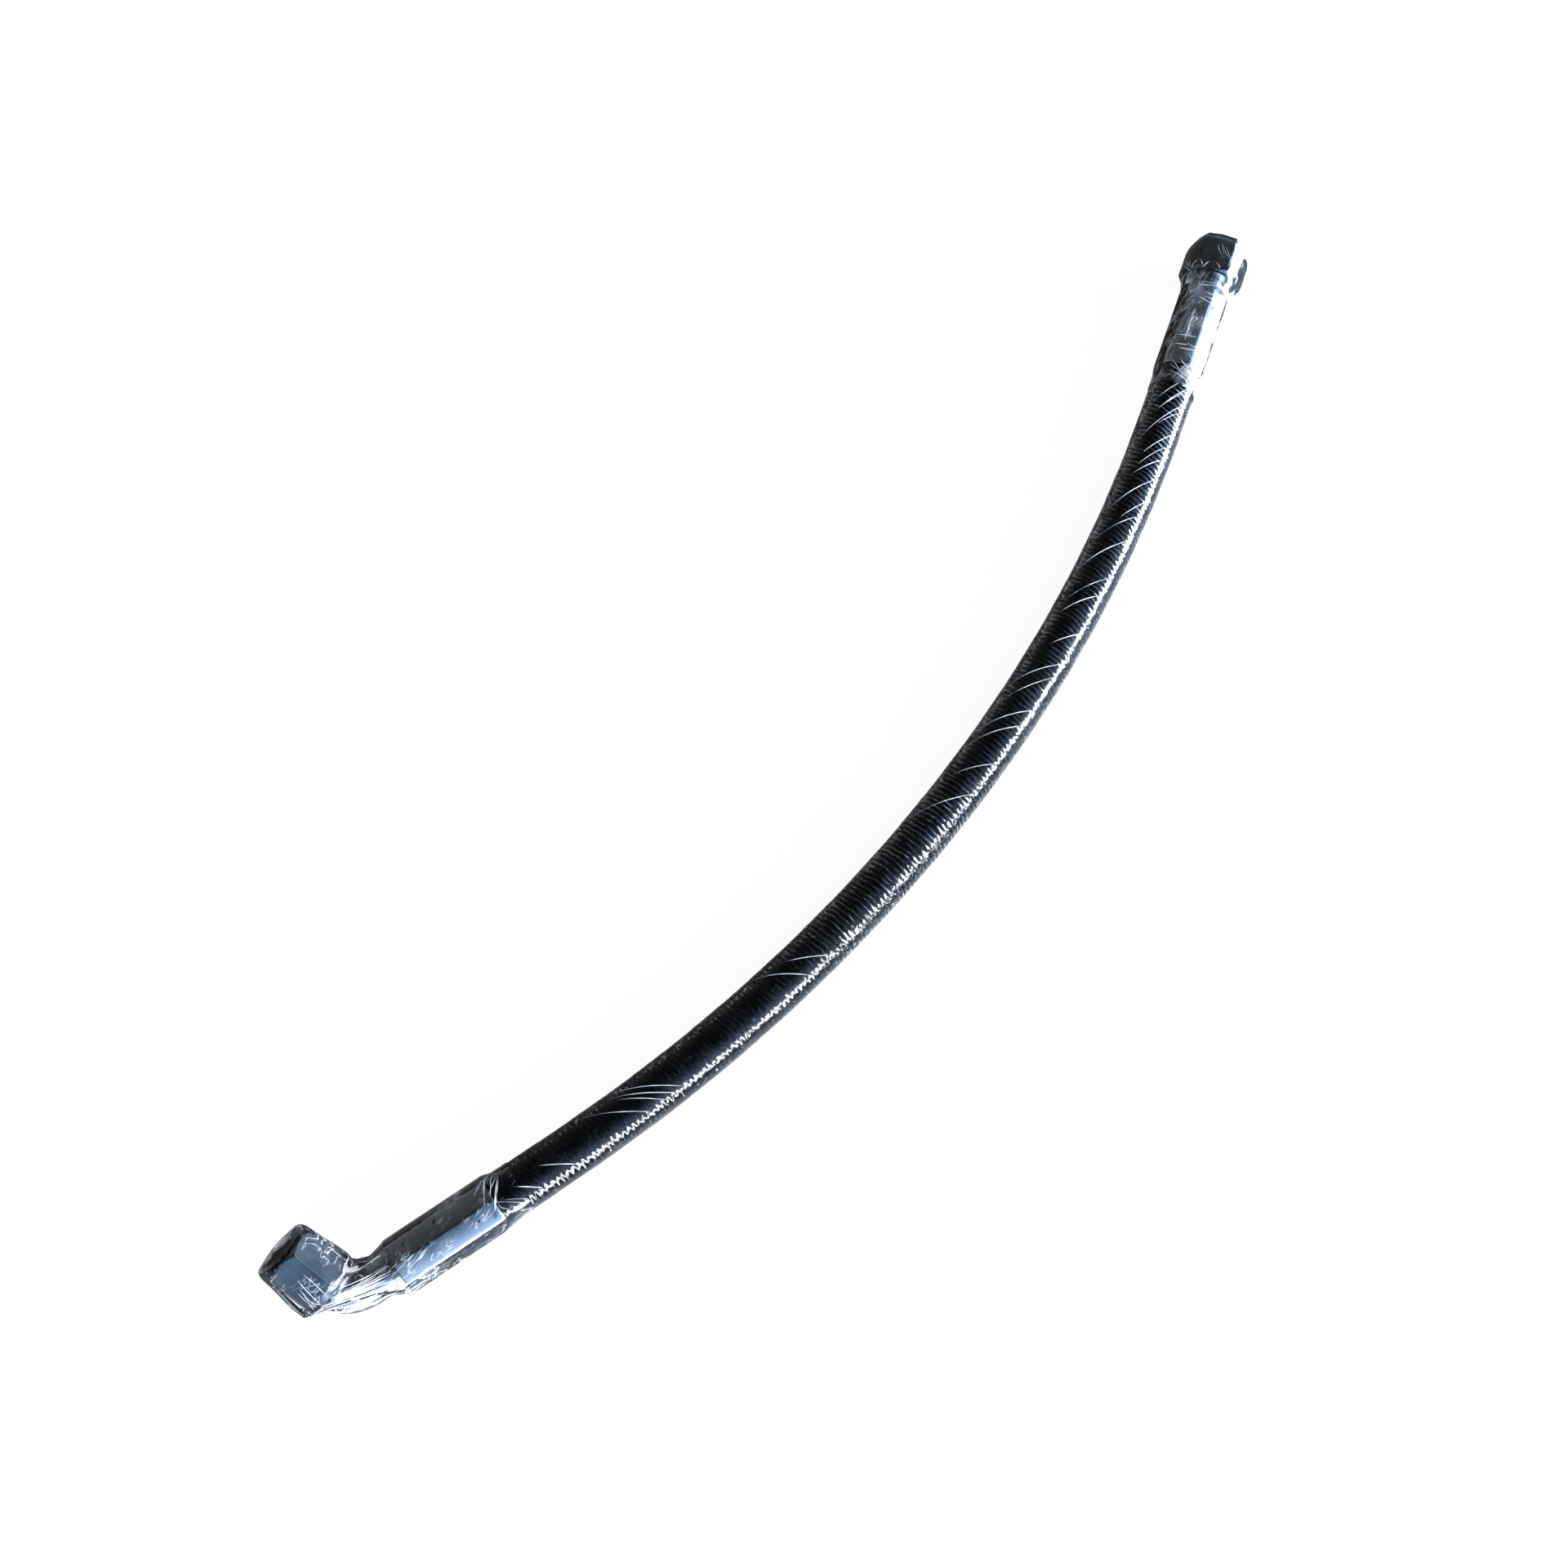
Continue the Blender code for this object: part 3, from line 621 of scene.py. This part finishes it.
def make_nut(name, path, roll, body, material):
    """Hexagon nut with turned chamfers and a real thread in its bore."""
    around = angles(NUT_SIDES)
    corner = NUT_AF / 2 / math.cos(math.pi / 6) - NUT_CORNER_WEAR
    hexagon = polygon_r(around, 6, NUT_AF, roll, corner)
    near = np.array(NUT_END_RINGS)
    at = np.concatenate((NUT_LEN - near, np.linspace(NUT_LEN - 0.005, 0.005, 10), near[::-1]))
    front = NUT_FACE_R + (corner - NUT_FACE_R) * (NUT_LEN - at) / NUT_FRONT_BEVEL
    back = NUT_BACK_R + (corner - NUT_BACK_R) * at / NUT_BACK_BEVEL
    radius = np.minimum(hexagon[None, :], np.minimum(front, back)[:, None])
    outer = path.place(at[:, None], around[None, :], radius)
    outer[..., 2] = np.maximum(outer[..., 2], METAL_LEAST_Z)
    thread_at = spaced(NUT_LEN - NUT_MOUTH_CHAMFER, NUT_SEAT_FRONT, -THREAD_PITCH / THREAD_RINGS)
    phase = (thread_at[:, None] / THREAD_PITCH + around[None, :] / math.tau) % 1.0
    depth = np.clip(1.25 - abs(phase - 0.5) * 3.0, 0.0, 1.0)
    run_in = np.clip((thread_at - NUT_SEAT_FRONT) / THREAD_PITCH, 0.0, 1.0)[:, None]
    thread_r = NUT_THREAD_R + (THREAD_ROOT_R - NUT_THREAD_R) * depth * run_in
    thread = path.place(thread_at[:, None], around[None, :], thread_r)
    seat = [(NUT_SEAT_BACK, NUT_BORE_R), (WIRE_GROOVE_FRONT, NUT_BORE_R),
            (WIRE_GROOVE_FRONT, NUT_WIRE_GROOVE_R), (WIRE_GROOVE_BACK, NUT_WIRE_GROOVE_R),
            (WIRE_GROOVE_BACK, NUT_BORE_R), (0.0, NUT_BORE_R)]
    mouth = path.place(NUT_LEN, around, NUT_MOUTH_R)[None]
    rest = np.stack([path.place(length, around, r) for length, r in seat])
    inner = np.concatenate((mouth, thread, rest))
    return shell(name, outer, inner, body, material, "bright_zinc", (name.replace("_threaded", ""),), 25.0)


def make_bent_tube():
    around = angles(64)[None, :]
    at = np.linspace(SHOULDER_END, ELBOW_NUT_BACK + ELBOW_NUT_OVERLAP + ELBOW_TUBE_END, 34)[:, None]
    outer = BENT.place(at, around, TUBE_R)
    inner = BENT.place(at, around, STEM_BORE_R)
    return shell("elbow_bent_tube_smooth", outer, inner, "hose", BORE_ZINC, "bright_zinc",
                 ("elbow_bent_tube",))


make_ferrule("straight_ferrule_crimped", STRAIGHT, STRAIGHT_FERRULE_ROLL)
elbow_ferrule = make_ferrule("elbow_ferrule_crimped", BENT, ELBOW_FERRULE_ROLL)
make_nut("straight_swivel_nut_threaded", STRAIGHT_NUT, STRAIGHT_NUT_ROLL, "straight_nut", SHADE_DARKENED_NUT_METAL)
elbow_nut = make_nut("elbow_swivel_nut_threaded", ELBOW_NUT, ELBOW_NUT_ROLL, "bent_nut", DEEP_SHADE_NUT_METAL)
elbow_tube = make_bent_tube()


# ---------------------------------------------------------------- stretch film

FILM_SIDES = 96
STRAIGHT_SEAM_AT = STRAIGHT_NECK - FILM_SEAM_BACK - SEAM_GAP


def settle(points):
    """Film that would be below the floor is pressed flat on it."""
    points[..., 2] = np.maximum(points[..., 2], FILM_LEAST_Z)
    return points


def hose_film_r(at, around):
    """Film on the hose: overlapping wraps, so that it steps along a helix, and small wrinkles."""
    lap = ((at + FILM_LAP_SLANT * around / math.tau) / FILM_LAP) % 1.0
    step = 0.00012 * ease(lap / 0.06) * (1.0 - ease((lap - 0.55) / 0.02))
    wrinkle = 0.00010 * ripple(at, around, 21, 0.006, 6) + 0.00005 * ripple(at, around, 22, 0.0035, 9)
    return FILM_HOSE_R + step + wrinkle


def ferrule_film_r(around, roll):
    return ferrule_r(around, roll) + FERRULE_FILM_GAP


def straight_film_r(at, around):
    """Film from the seam behind the straight nut, over the ferrule and onto the hose."""
    return fitting_film_r(at, around, ferrule_film_r(around, STRAIGHT_FERRULE_ROLL),
                          STRAIGHT_SEAM_AT, STRAIGHT_SEAM_R - SEAM_GAP, 0.0004, 31)


def elbow_film_r(at, around):
    """The same on the bent end, up to the outer end of its ferrule."""
    return fitting_film_r(at, around, ferrule_film_r(around, ELBOW_FERRULE_ROLL), 1.0, 0.0, 0.0, 41)


def elbow_neck(share, around, inset=0.0):
    """Film drawn straight from the ferrule to the ring behind the nut, and round the tube on the way."""
    share, around = np.broadcast_arrays(share, around)
    first = BENT.place(0.0, around, elbow_film_r(0.0, around) - inset)
    ring = ELBOW_NUT.place(-FILM_SEAM_BACK - SEAM_GAP, around, ELBOW_SEAM_R - SEAM_GAP - inset)
    sag = 0.16 * np.sin(math.pi * share) * (1.0 + 0.25 * ripple(share * 0.04, around, 43, 0.02, 5))
    middle = BENT.at(share * ELBOW_NUT_BACK)[..., :3]
    points = first + (ring - first) * share[..., None]
    points = points + (middle - points) * sag[..., None]
    stations = BENT.at(np.linspace(0.0, ELBOW_NUT_BACK, 60))[:, :3]
    gaps = np.linalg.norm(points[..., None, :] - stations, axis=-1)
    nearest = stations[gaps.argmin(-1)]
    out = points - nearest
    reach = np.linalg.norm(out, axis=-1)[..., None]
    return nearest + out / reach * np.maximum(reach, TUBE_FILM_R - inset)


def fitting_film_r(at, around, ferrule, seam_at, seam_r, waist, seed):
    share = np.clip(at / seam_at, 0.0, 1.0)
    neck = ferrule + (seam_r - ferrule) * ease(share) - waist * np.sin(math.pi * share)
    behind = ease((-at - FERRULE_LEN + 0.0005) / 0.006)
    radius = np.where(at > 0.0, neck, ferrule + (FILM_HOSE_R + 0.0005 - ferrule) * behind)
    loose = 0.12 + 0.75 * np.sin(math.pi * share) + 0.8 * behind * (1.0 - behind)
    wrinkle = 0.00030 * ripple(at, around, seed, 0.030, 9) + 0.00010 * ripple(at, around, seed + 1, 0.007, 8)
    still = ease((seam_at - at) / 0.003)
    return radius + wrinkle * loose * still


def make_film(name, path, radius_of, start, end, step, material, replaced):
    at = spaced(start, end, step)[:, None]
    around = angles(FILM_SIDES)[None, :]
    radius = radius_of(at, around)
    outer = settle(path.place(at, around, radius))
    inner = settle(path.place(at, around, radius - FILM_T)) + np.array((0.0, 0.0, FILM_LEAST_Z))
    return shell(name, outer, inner, "hose", material, "stretch_film", replaced, 60.0)


class Cap:
    """Film over a nut, from the seam behind it to a skin over its mouth."""

    def __init__(self, path, roll, seam_r, offset, flare, rounding, rim, edge, dome, seed):
        self.path, self.roll, self.seam_r, self.offset, self.seed = path, roll, seam_r, offset, seed
        self.flare = flare            # how much wider it is at the nut's back than at its front
        self.rounding = rounding      # share of a circle in its section, the rest hugs the hexagon
        self.end = NUT_LEN + rim      # where its side ends
        self.edge = edge              # how far its rim is rounded inward
        self.dome = dome              # height of the skin's middle above the rim

    def radius(self, at, around):
        corner = NUT_AF / 2 / math.cos(math.pi / 6)
        hexagon = polygon_r(around, 6, NUT_AF, self.roll, corner)
        back = ease((NUT_LEN - at) / NUT_LEN)
        body = hexagon + (corner - hexagon) * (self.rounding + (1.0 - self.rounding) * back * 0.25)
        body = body + self.offset + self.flare * back
        rise = ease((at + FILM_SEAM_BACK) / (FILM_SEAM_BACK + 0.0030))
        turned = np.clip((at - self.end + 2.2 * self.edge) / (2.2 * self.edge), 0.0, 1.0)
        wrinkle = (0.00020 * ripple(at, around, self.seed, 0.02, 9)
                   + 0.00008 * ripple(at, around, self.seed + 1, 0.008, 8))
        return (self.seam_r + (body - self.seam_r + wrinkle) * rise
                - self.edge * (1.0 - np.sqrt(1.0 - 0.98 * turned ** 2)))

    def grid(self, inset=0.0):
        around = angles(FILM_SIDES * 2)[None, :]
        at = np.concatenate((np.linspace(-FILM_SEAM_BACK, 0.003, 7),
                             np.linspace(0.005, self.end - 0.006, 9),
                             np.linspace(self.end - 0.005, self.end, 9)))[:, None]
        side = self.path.place(at, around, self.radius(at, around) - inset)
        rim = self.radius(np.array([[self.end]]), around) - inset
        share = np.array((0.90, 0.78, 0.64, 0.50, 0.36, 0.22, 0.08))[:, None]
        crumple = 0.0005 * ripple(share * rim, around, self.seed + 2, 0.012, 6) * (1.0 - share)
        height = self.end - inset + self.dome * (1.0 - share ** 2) + crumple
        skin = self.path.place(height, around, rim * share)
        return settle(np.concatenate((side, skin)))


def make_cap(name, cap, body, material):
    outer = cap.grid()
    inner = cap.grid(FILM_T) + np.array((0.0, 0.0, FILM_LEAST_Z))
    poles = (outer[-1].mean(0), inner[-1].mean(0))
    return shell(name, outer, inner, body, material, "stretch_film", (), 60.0, poles)


STRAIGHT_CAP = Cap(STRAIGHT_NUT, STRAIGHT_NUT_ROLL, STRAIGHT_SEAM_R, offset=0.0013, flare=0.0,
                   rounding=0.22, rim=0.0008, edge=0.0050, dome=0.0012, seed=51)
ELBOW_CAP = Cap(ELBOW_NUT, ELBOW_NUT_ROLL, ELBOW_SEAM_R, offset=0.0014, flare=0.0024,
                rounding=0.50, rim=0.0030, edge=0.0026, dome=-0.0045, seed=61)


def make_elbow_film():
    around = angles(FILM_SIDES)[None, :]
    at = spaced(-FERRULE_LEN - FILM_PAST_FERRULE, 0.0, FILM_RING_STEP)[:, None]
    share = np.linspace(0.0, 1.0, 34)[1:, None]
    skins = []
    for inset in (0.0, FILM_T):
        straight = BENT.place(at, around, elbow_film_r(at, around) - inset)
        skins.append(settle(np.concatenate((straight, elbow_neck(share, around, inset)))))
    skins[1] = skins[1] + np.array((0.0, 0.0, FILM_LEAST_Z))
    return shell("film_elbow_wrap", *skins, "hose", DENSE_FILM, "stretch_film", ("film_elbow_neck",), 60.0)


make_film("film_hose_wrap", HOSE, hose_film_r, 0.0008, HOSE_EXPOSED - 0.0008, 0.0018, FILM,
          ("film_hose_sleeve",))
make_film("film_straight_wrap", STRAIGHT, straight_film_r, -FERRULE_LEN - FILM_PAST_FERRULE,
          STRAIGHT_SEAM_AT, FILM_RING_STEP, FITTING_FILM, ("film_straight_neck",))
make_elbow_film()
make_cap("film_straight_nut_cap", STRAIGHT_CAP, "straight_nut", CLEAR_FILM)
make_cap("film_elbow_nut_cap", ELBOW_CAP, "bent_nut", CREASED_FILM)


# ---------------------------------------------------------------- folds in the film

FOLD_SIDES = 6
FOLD_SLOPE = 1.15                 # length along the hose per length round it
FOLD_HEIGHT = 0.45                # share of its width
HOSE_FOLD = (0.00035, 0.00060)    # least and most width
THIN_FOLD, THICK_FOLD = (0.00025, 0.00045), (0.0004, 0.0007)
HIDDEN_FOLDS = 34                 # on the far side of the hose

# Folds of the hose's film: from, to, how many, shortest and longest turn round the hose in degrees
HOSE_FOLDS = ((0.000, 0.030, 4, 60, 90), (0.030, 0.110, 6, 45, 90), (0.110, 0.240, 6, 45, 105),
              (0.240, 0.345, 5, 70, 110), (0.470, 0.500, 2, 60, 95), (0.590, 0.620, 4, 60, 105),
              (0.660, 0.700, 2, 25, 50), (0.700, 0.716, 3, 25, 50))


def fold_rings(line, out, width):
    """Rings of one fold: a flat ridge that tapers to nothing at both ends."""
    along = np.gradient(line, axis=0)
    along /= np.linalg.norm(along, axis=1)[:, None]
    across = np.cross(along, out)
    share = np.linspace(0.0, 1.0, len(line))
    size = np.maximum(np.sin(math.pi * share) ** 0.6, 0.06)[:, None, None]
    turn = angles(FOLD_SIDES)[None, :, None]
    return (line[:, None] + across[:, None] * np.cos(turn) * size * width / 2
            + out[:, None] * np.sin(turn) * size * width * FOLD_HEIGHT)


def fold_set(name, body, paths):
    """One mesh of folds, each from its line, outward directions and width."""
    points, faces = [], []
    for line, out, width in paths:
        rings = fold_rings(line, out, width)
        first = len(points)
        points += settle(rings).reshape(-1, 3).tolist()
        faces += grid_faces(len(rings), FOLD_SIDES, first, False)
        last = first + (len(rings) - 1) * FOLD_SIDES
        faces.append([first + k for k in range(FOLD_SIDES)])
        faces.append([last + k for k in reversed(range(FOLD_SIDES))])
    finish_mesh(name, points, faces, body, FOLD, (), 80.0)


def on_film(path, radius_of, at, around):
    """A line on a film's surface and its outward directions."""
    line = path.place(at, around, radius_of(at, around))
    centre = path.at(at)[:, :3]
    out = line - centre
    return line, out / np.linalg.norm(out, axis=1)[:, None]


def slanted(draw, start, top, turn, width):
    """One fold of the hose's film: it starts at top and climbs round the hose while it goes along it."""
    share = np.linspace(0.0, 1.0, 26)
    slope = FOLD_SLOPE * draw.uniform(0.85, 1.2)
    at = start + slope * FILM_HOSE_R * turn * share * (0.8 + 0.35 * share)
    at = np.minimum(at, HOSE_EXPOSED - 0.001)
    line, out = on_film(HOSE, hose_film_r, at, top - turn * share)
    return line, out, width


def hose_folds():
    draw = seeded(7)
    paths = []
    for first, last, count, least, most in HOSE_FOLDS:
        for index in range(count):
            start = first + (last - first) * (index + draw.uniform(0.15, 0.85)) / count
            turn = math.radians(draw.uniform(least, most))
            top = math.radians(draw.uniform(36.0, 50.0))
            paths.append(slanted(draw, start, top, turn, draw.uniform(*HOSE_FOLD)))
    draw = seeded(8)
    for _ in range(HIDDEN_FOLDS):
        start = draw.uniform(0.01, HOSE_EXPOSED - 0.05)
        turn = math.radians(draw.uniform(30.0, 90.0))
        top = math.radians(draw.uniform(150.0, 320.0))
        paths.append(slanted(draw, start, top, turn, draw.uniform(*HOSE_FOLD)))
    fold_set("film_hose_folds", "hose", paths)


def streaks(draw, path, radius_of, count, at_range, angle_range, at_change, angle_change, width):
    """Folds spread over a patch of film: each starts in the ranges and changes by up to the changes."""
    paths = []
    for _ in range(count):
        share = np.linspace(0.0, 1.0, 18)
        start = draw.uniform(*at_range)
        around = math.radians(draw.uniform(*angle_range))
        bow = math.radians(draw.uniform(-3.0, 3.0)) * np.sin(math.pi * share)
        at = start + draw.uniform(*at_change) * share
        turn = math.radians(draw.uniform(*angle_change)) * share
        line, out = on_film(path, radius_of, at, around + turn + bow)
        paths.append((line, out, draw.uniform(*width)))
    return paths


def neck_streaks(draw, count, angle_range, width):
    """Folds along the film drawn across the bend."""
    paths = []
    for _ in range(count):
        share = np.linspace(draw.uniform(0.02, 0.30), draw.uniform(0.75, 0.99), 24)
        around = math.radians(draw.uniform(*angle_range)) + math.radians(draw.uniform(-7.0, 7.0)) * share
        line = elbow_neck(share, around)
        out = line - BENT.at(share * ELBOW_NUT_BACK)[:, :3]
        paths.append((line, out / np.linalg.norm(out, axis=1)[:, None], draw.uniform(*width)))
    return paths


def fitting_folds():
    """Folds of the film round the fittings, and where it is drawn across the bend."""
    draw = seeded(9)
    on_hose = neck_streaks(draw, 22, (-85.0, 5.0), THICK_FOLD)
    for patch in (
            (BENT, elbow_film_r, 8, (-0.020, -0.002), (-80.0, -30.0), (0.012, 0.018), (-8.0, 8.0), THIN_FOLD),
            (BENT, elbow_film_r, 7, (-0.078, -0.066), (20.0, 70.0), (0.006, 0.012), (-60.0, -30.0),
             THICK_FOLD),
            (STRAIGHT, straight_film_r, 12, (-0.064, 0.004), (0.0, 50.0), (-0.002, 0.004),
             (-55.0, -25.0), THICK_FOLD),
            (STRAIGHT, straight_film_r, 8, (-0.070, -0.030), (-20.0, 60.0), (0.015, 0.030), (-6.0, 6.0),
             THIN_FOLD),
            (STRAIGHT, straight_film_r, 8, (-0.080, -0.068), (10.0, 60.0), (0.004, 0.012),
             (-60.0, -30.0), THICK_FOLD)):
        on_hose += streaks(draw, *patch)
    on_nut = streaks(draw, STRAIGHT_NUT, STRAIGHT_CAP.radius, 4, (0.010, 0.016), (-16.0, 22.0),
                     (0.006, 0.010), (-16.0, -8.0), THIN_FOLD)
    on_nut += streaks(draw, STRAIGHT_NUT, STRAIGHT_CAP.radius, 12, (-0.0015, 0.002), (-60.0, 70.0),
                      (0.004, 0.008), (-20.0, 20.0), THICK_FOLD)
    on_bent = streaks(draw, ELBOW_NUT, ELBOW_CAP.radius, 12, (-0.0015, 0.001), (-130.0, 10.0),
                      (0.010, 0.024), (-12.0, 12.0), THIN_FOLD)
    fold_set("film_fitting_folds", "hose", on_hose)
    fold_set("film_straight_nut_folds", "straight_nut", on_nut)
    fold_set("film_elbow_nut_folds", "bent_nut", on_bent)


hose_folds()
fitting_folds()


# ---------------------------------------------------------------- studio

LIGHT_AZIMUTH = math.radians(-76.0)
BAND_TOP, BAND_FALL = 15.0, 0.0100     # degrees up straight ahead, and how it drops to the sides
BAND_HALF, BAND_SOFT = 7.5, 3.0        # degrees
BAND_REACH, BAND_LIGHT = (62.0, 85.0), 27.0
SKY_SCALE = 5.0                        # the ramps hold colours up to 1
LIT_SKY = ((-90.0, (1.0, 1.05, 1.1)), (-58.0, (1.5, 1.6, 1.7)), (-42.0, (0.9, 0.95, 1.05)),
           (-28.0, (0.14, 0.17, 0.22)), (-12.0, (0.18, 0.24, 0.34)), (4.0, (0.8, 1.0, 1.3)),
           (25.0, (1.3, 1.8, 2.5)), (36.0, (0.75, 1.1, 1.6)), (47.0, (0.32, 0.50, 0.76)),
           (57.0, (0.14, 0.22, 0.34)), (68.0, (0.04, 0.055, 0.08)), (90.0, (0.020, 0.023, 0.030)))
DARK_SKY = ((-90.0, (0.36, 0.36, 0.38)), (-40.0, (0.24, 0.23, 0.23)), (-8.0, (0.22, 0.21, 0.21)),
            (12.0, (0.17, 0.17, 0.165)), (40.0, (0.08, 0.08, 0.08)), (90.0, (0.020, 0.020, 0.025)))
FLOOR_HALF = 8.0
DOME_R = 30.0
FLOOR_GLOW, FLOOR_WHITE = 0.95, 0.16


def world_light():
    """Sky by direction: a bright low band and blue glow on one side, dark overhead and behind."""
    world = bpy.data.worlds.new("studio")
    bpy.context.scene.world = world
    m = Shader(world, "World")
    parts = m.node("SeparateXYZ", {0: m.node("TexCoord").outputs["Generated"]})
    x, y, z = parts.outputs
    height = m.math("MULTIPLY", m.math("ARCSINE", z), 180.0 / math.pi)
    level = m.math("SQRT", m.math("ADD", m.math("MULTIPLY", x, x), m.math("MULTIPLY", y, y)))
    toward = m.math("ADD", m.math("MULTIPLY", x, math.cos(LIGHT_AZIMUTH)),
                    m.math("MULTIPLY", y, math.sin(LIGHT_AZIMUTH)))
    side = m.math("DIVIDE", toward, m.math("MAXIMUM", level, 0.001))
    off = m.math("MULTIPLY", m.math("ARCCOSINE", side), 180.0 / math.pi)
    arch = m.math("SUBTRACT", BAND_TOP, m.math("MULTIPLY", m.math("MULTIPLY", off, off), BAND_FALL))
    apart = m.math("ABSOLUTE", m.math("SUBTRACT", height, arch))
    band = m.level(apart, BAND_HALF, BAND_HALF + BAND_SOFT, 1.0, 0.0)
    band = m.math("MULTIPLY", band, m.level(off, *BAND_REACH, BAND_LIGHT, 0.0))
    lit = sky_ramp(m, height, LIT_SKY)
    dark = sky_ramp(m, height, DARK_SKY)
    colour = m.mix_colour(m.level(side, -0.25, 0.65), dark, lit)
    sky = m.node("Background", {"Color": colour, "Strength": SKY_SCALE})
    glow = m.node("Background", {"Color": (0.95, 0.98, 1.0), "Strength": band})
    m.finish(m.node("AddShader", {0: sky.outputs[0], 1: glow.outputs[0]}).outputs[0])


def sky_ramp(m, height, stops):
    ramp = m.node("ValToRGB", {"Fac": m.level(height, -90.0, 90.0)})
    elements = ramp.color_ramp.elements
    while len(elements) < len(stops):
        elements.new(0.5)
    for element, (degrees, colour) in zip(elements, stops):
        element.position = (degrees + 90.0) / 180.0
        element.color = (*[value / SKY_SCALE for value in colour], 1.0)
    return ramp.outputs["Color"]


def stage_mesh(name, points, faces, glow, white=0.0):
    """Part of the set: it glows white, and it is paper too where white, its whiteness, is above 0."""
    mesh = bpy.data.meshes.new(name)
    mesh.from_pydata(points, [], faces)
    item = bpy.data.objects.new(name, mesh)
    bpy.context.scene.collection.objects.link(item)
    m = Material(name)
    light = m.node("Emission", {"Color": (1.0, 1.0, 1.0), "Strength": glow})
    if white:
        paper = m.node("BsdfDiffuse", {"Color": (white, white, white)})
        light = m.node("AddShader", {0: light.outputs[0], 1: paper.outputs[0]})
    mesh.materials.append(m.finish(light.outputs[0]))
    return item


def make_stage():
    """A pale floor, and a pale backdrop that only the camera sees."""
    half, drop = FLOOR_HALF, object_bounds()[0].z - 0.00002
    corners = [(-half, -half, drop), (half, -half, drop), (half, half, drop), (-half, half, drop)]
    floor = stage_mesh("studio_floor", corners, [(0, 1, 2, 3)], FLOOR_GLOW, FLOOR_WHITE)
    floor.visible_glossy = False
    bm = bmesh.new()
    bmesh.ops.create_icosphere(bm, subdivisions=3, radius=DOME_R)
    points = [tuple(v.co) for v in bm.verts]
    faces = [tuple(v.index for v in f.verts) for f in bm.faces]
    bm.free()
    dome = stage_mesh("studio_backdrop", points, faces, 1.0)
    for flag in ("visible_diffuse", "visible_glossy", "visible_transmission", "visible_volume_scatter",
                 "visible_shadow"):
        setattr(dome, flag, False)


world_light()
make_stage()
bpy.context.scene.view_settings.view_transform = "Standard"
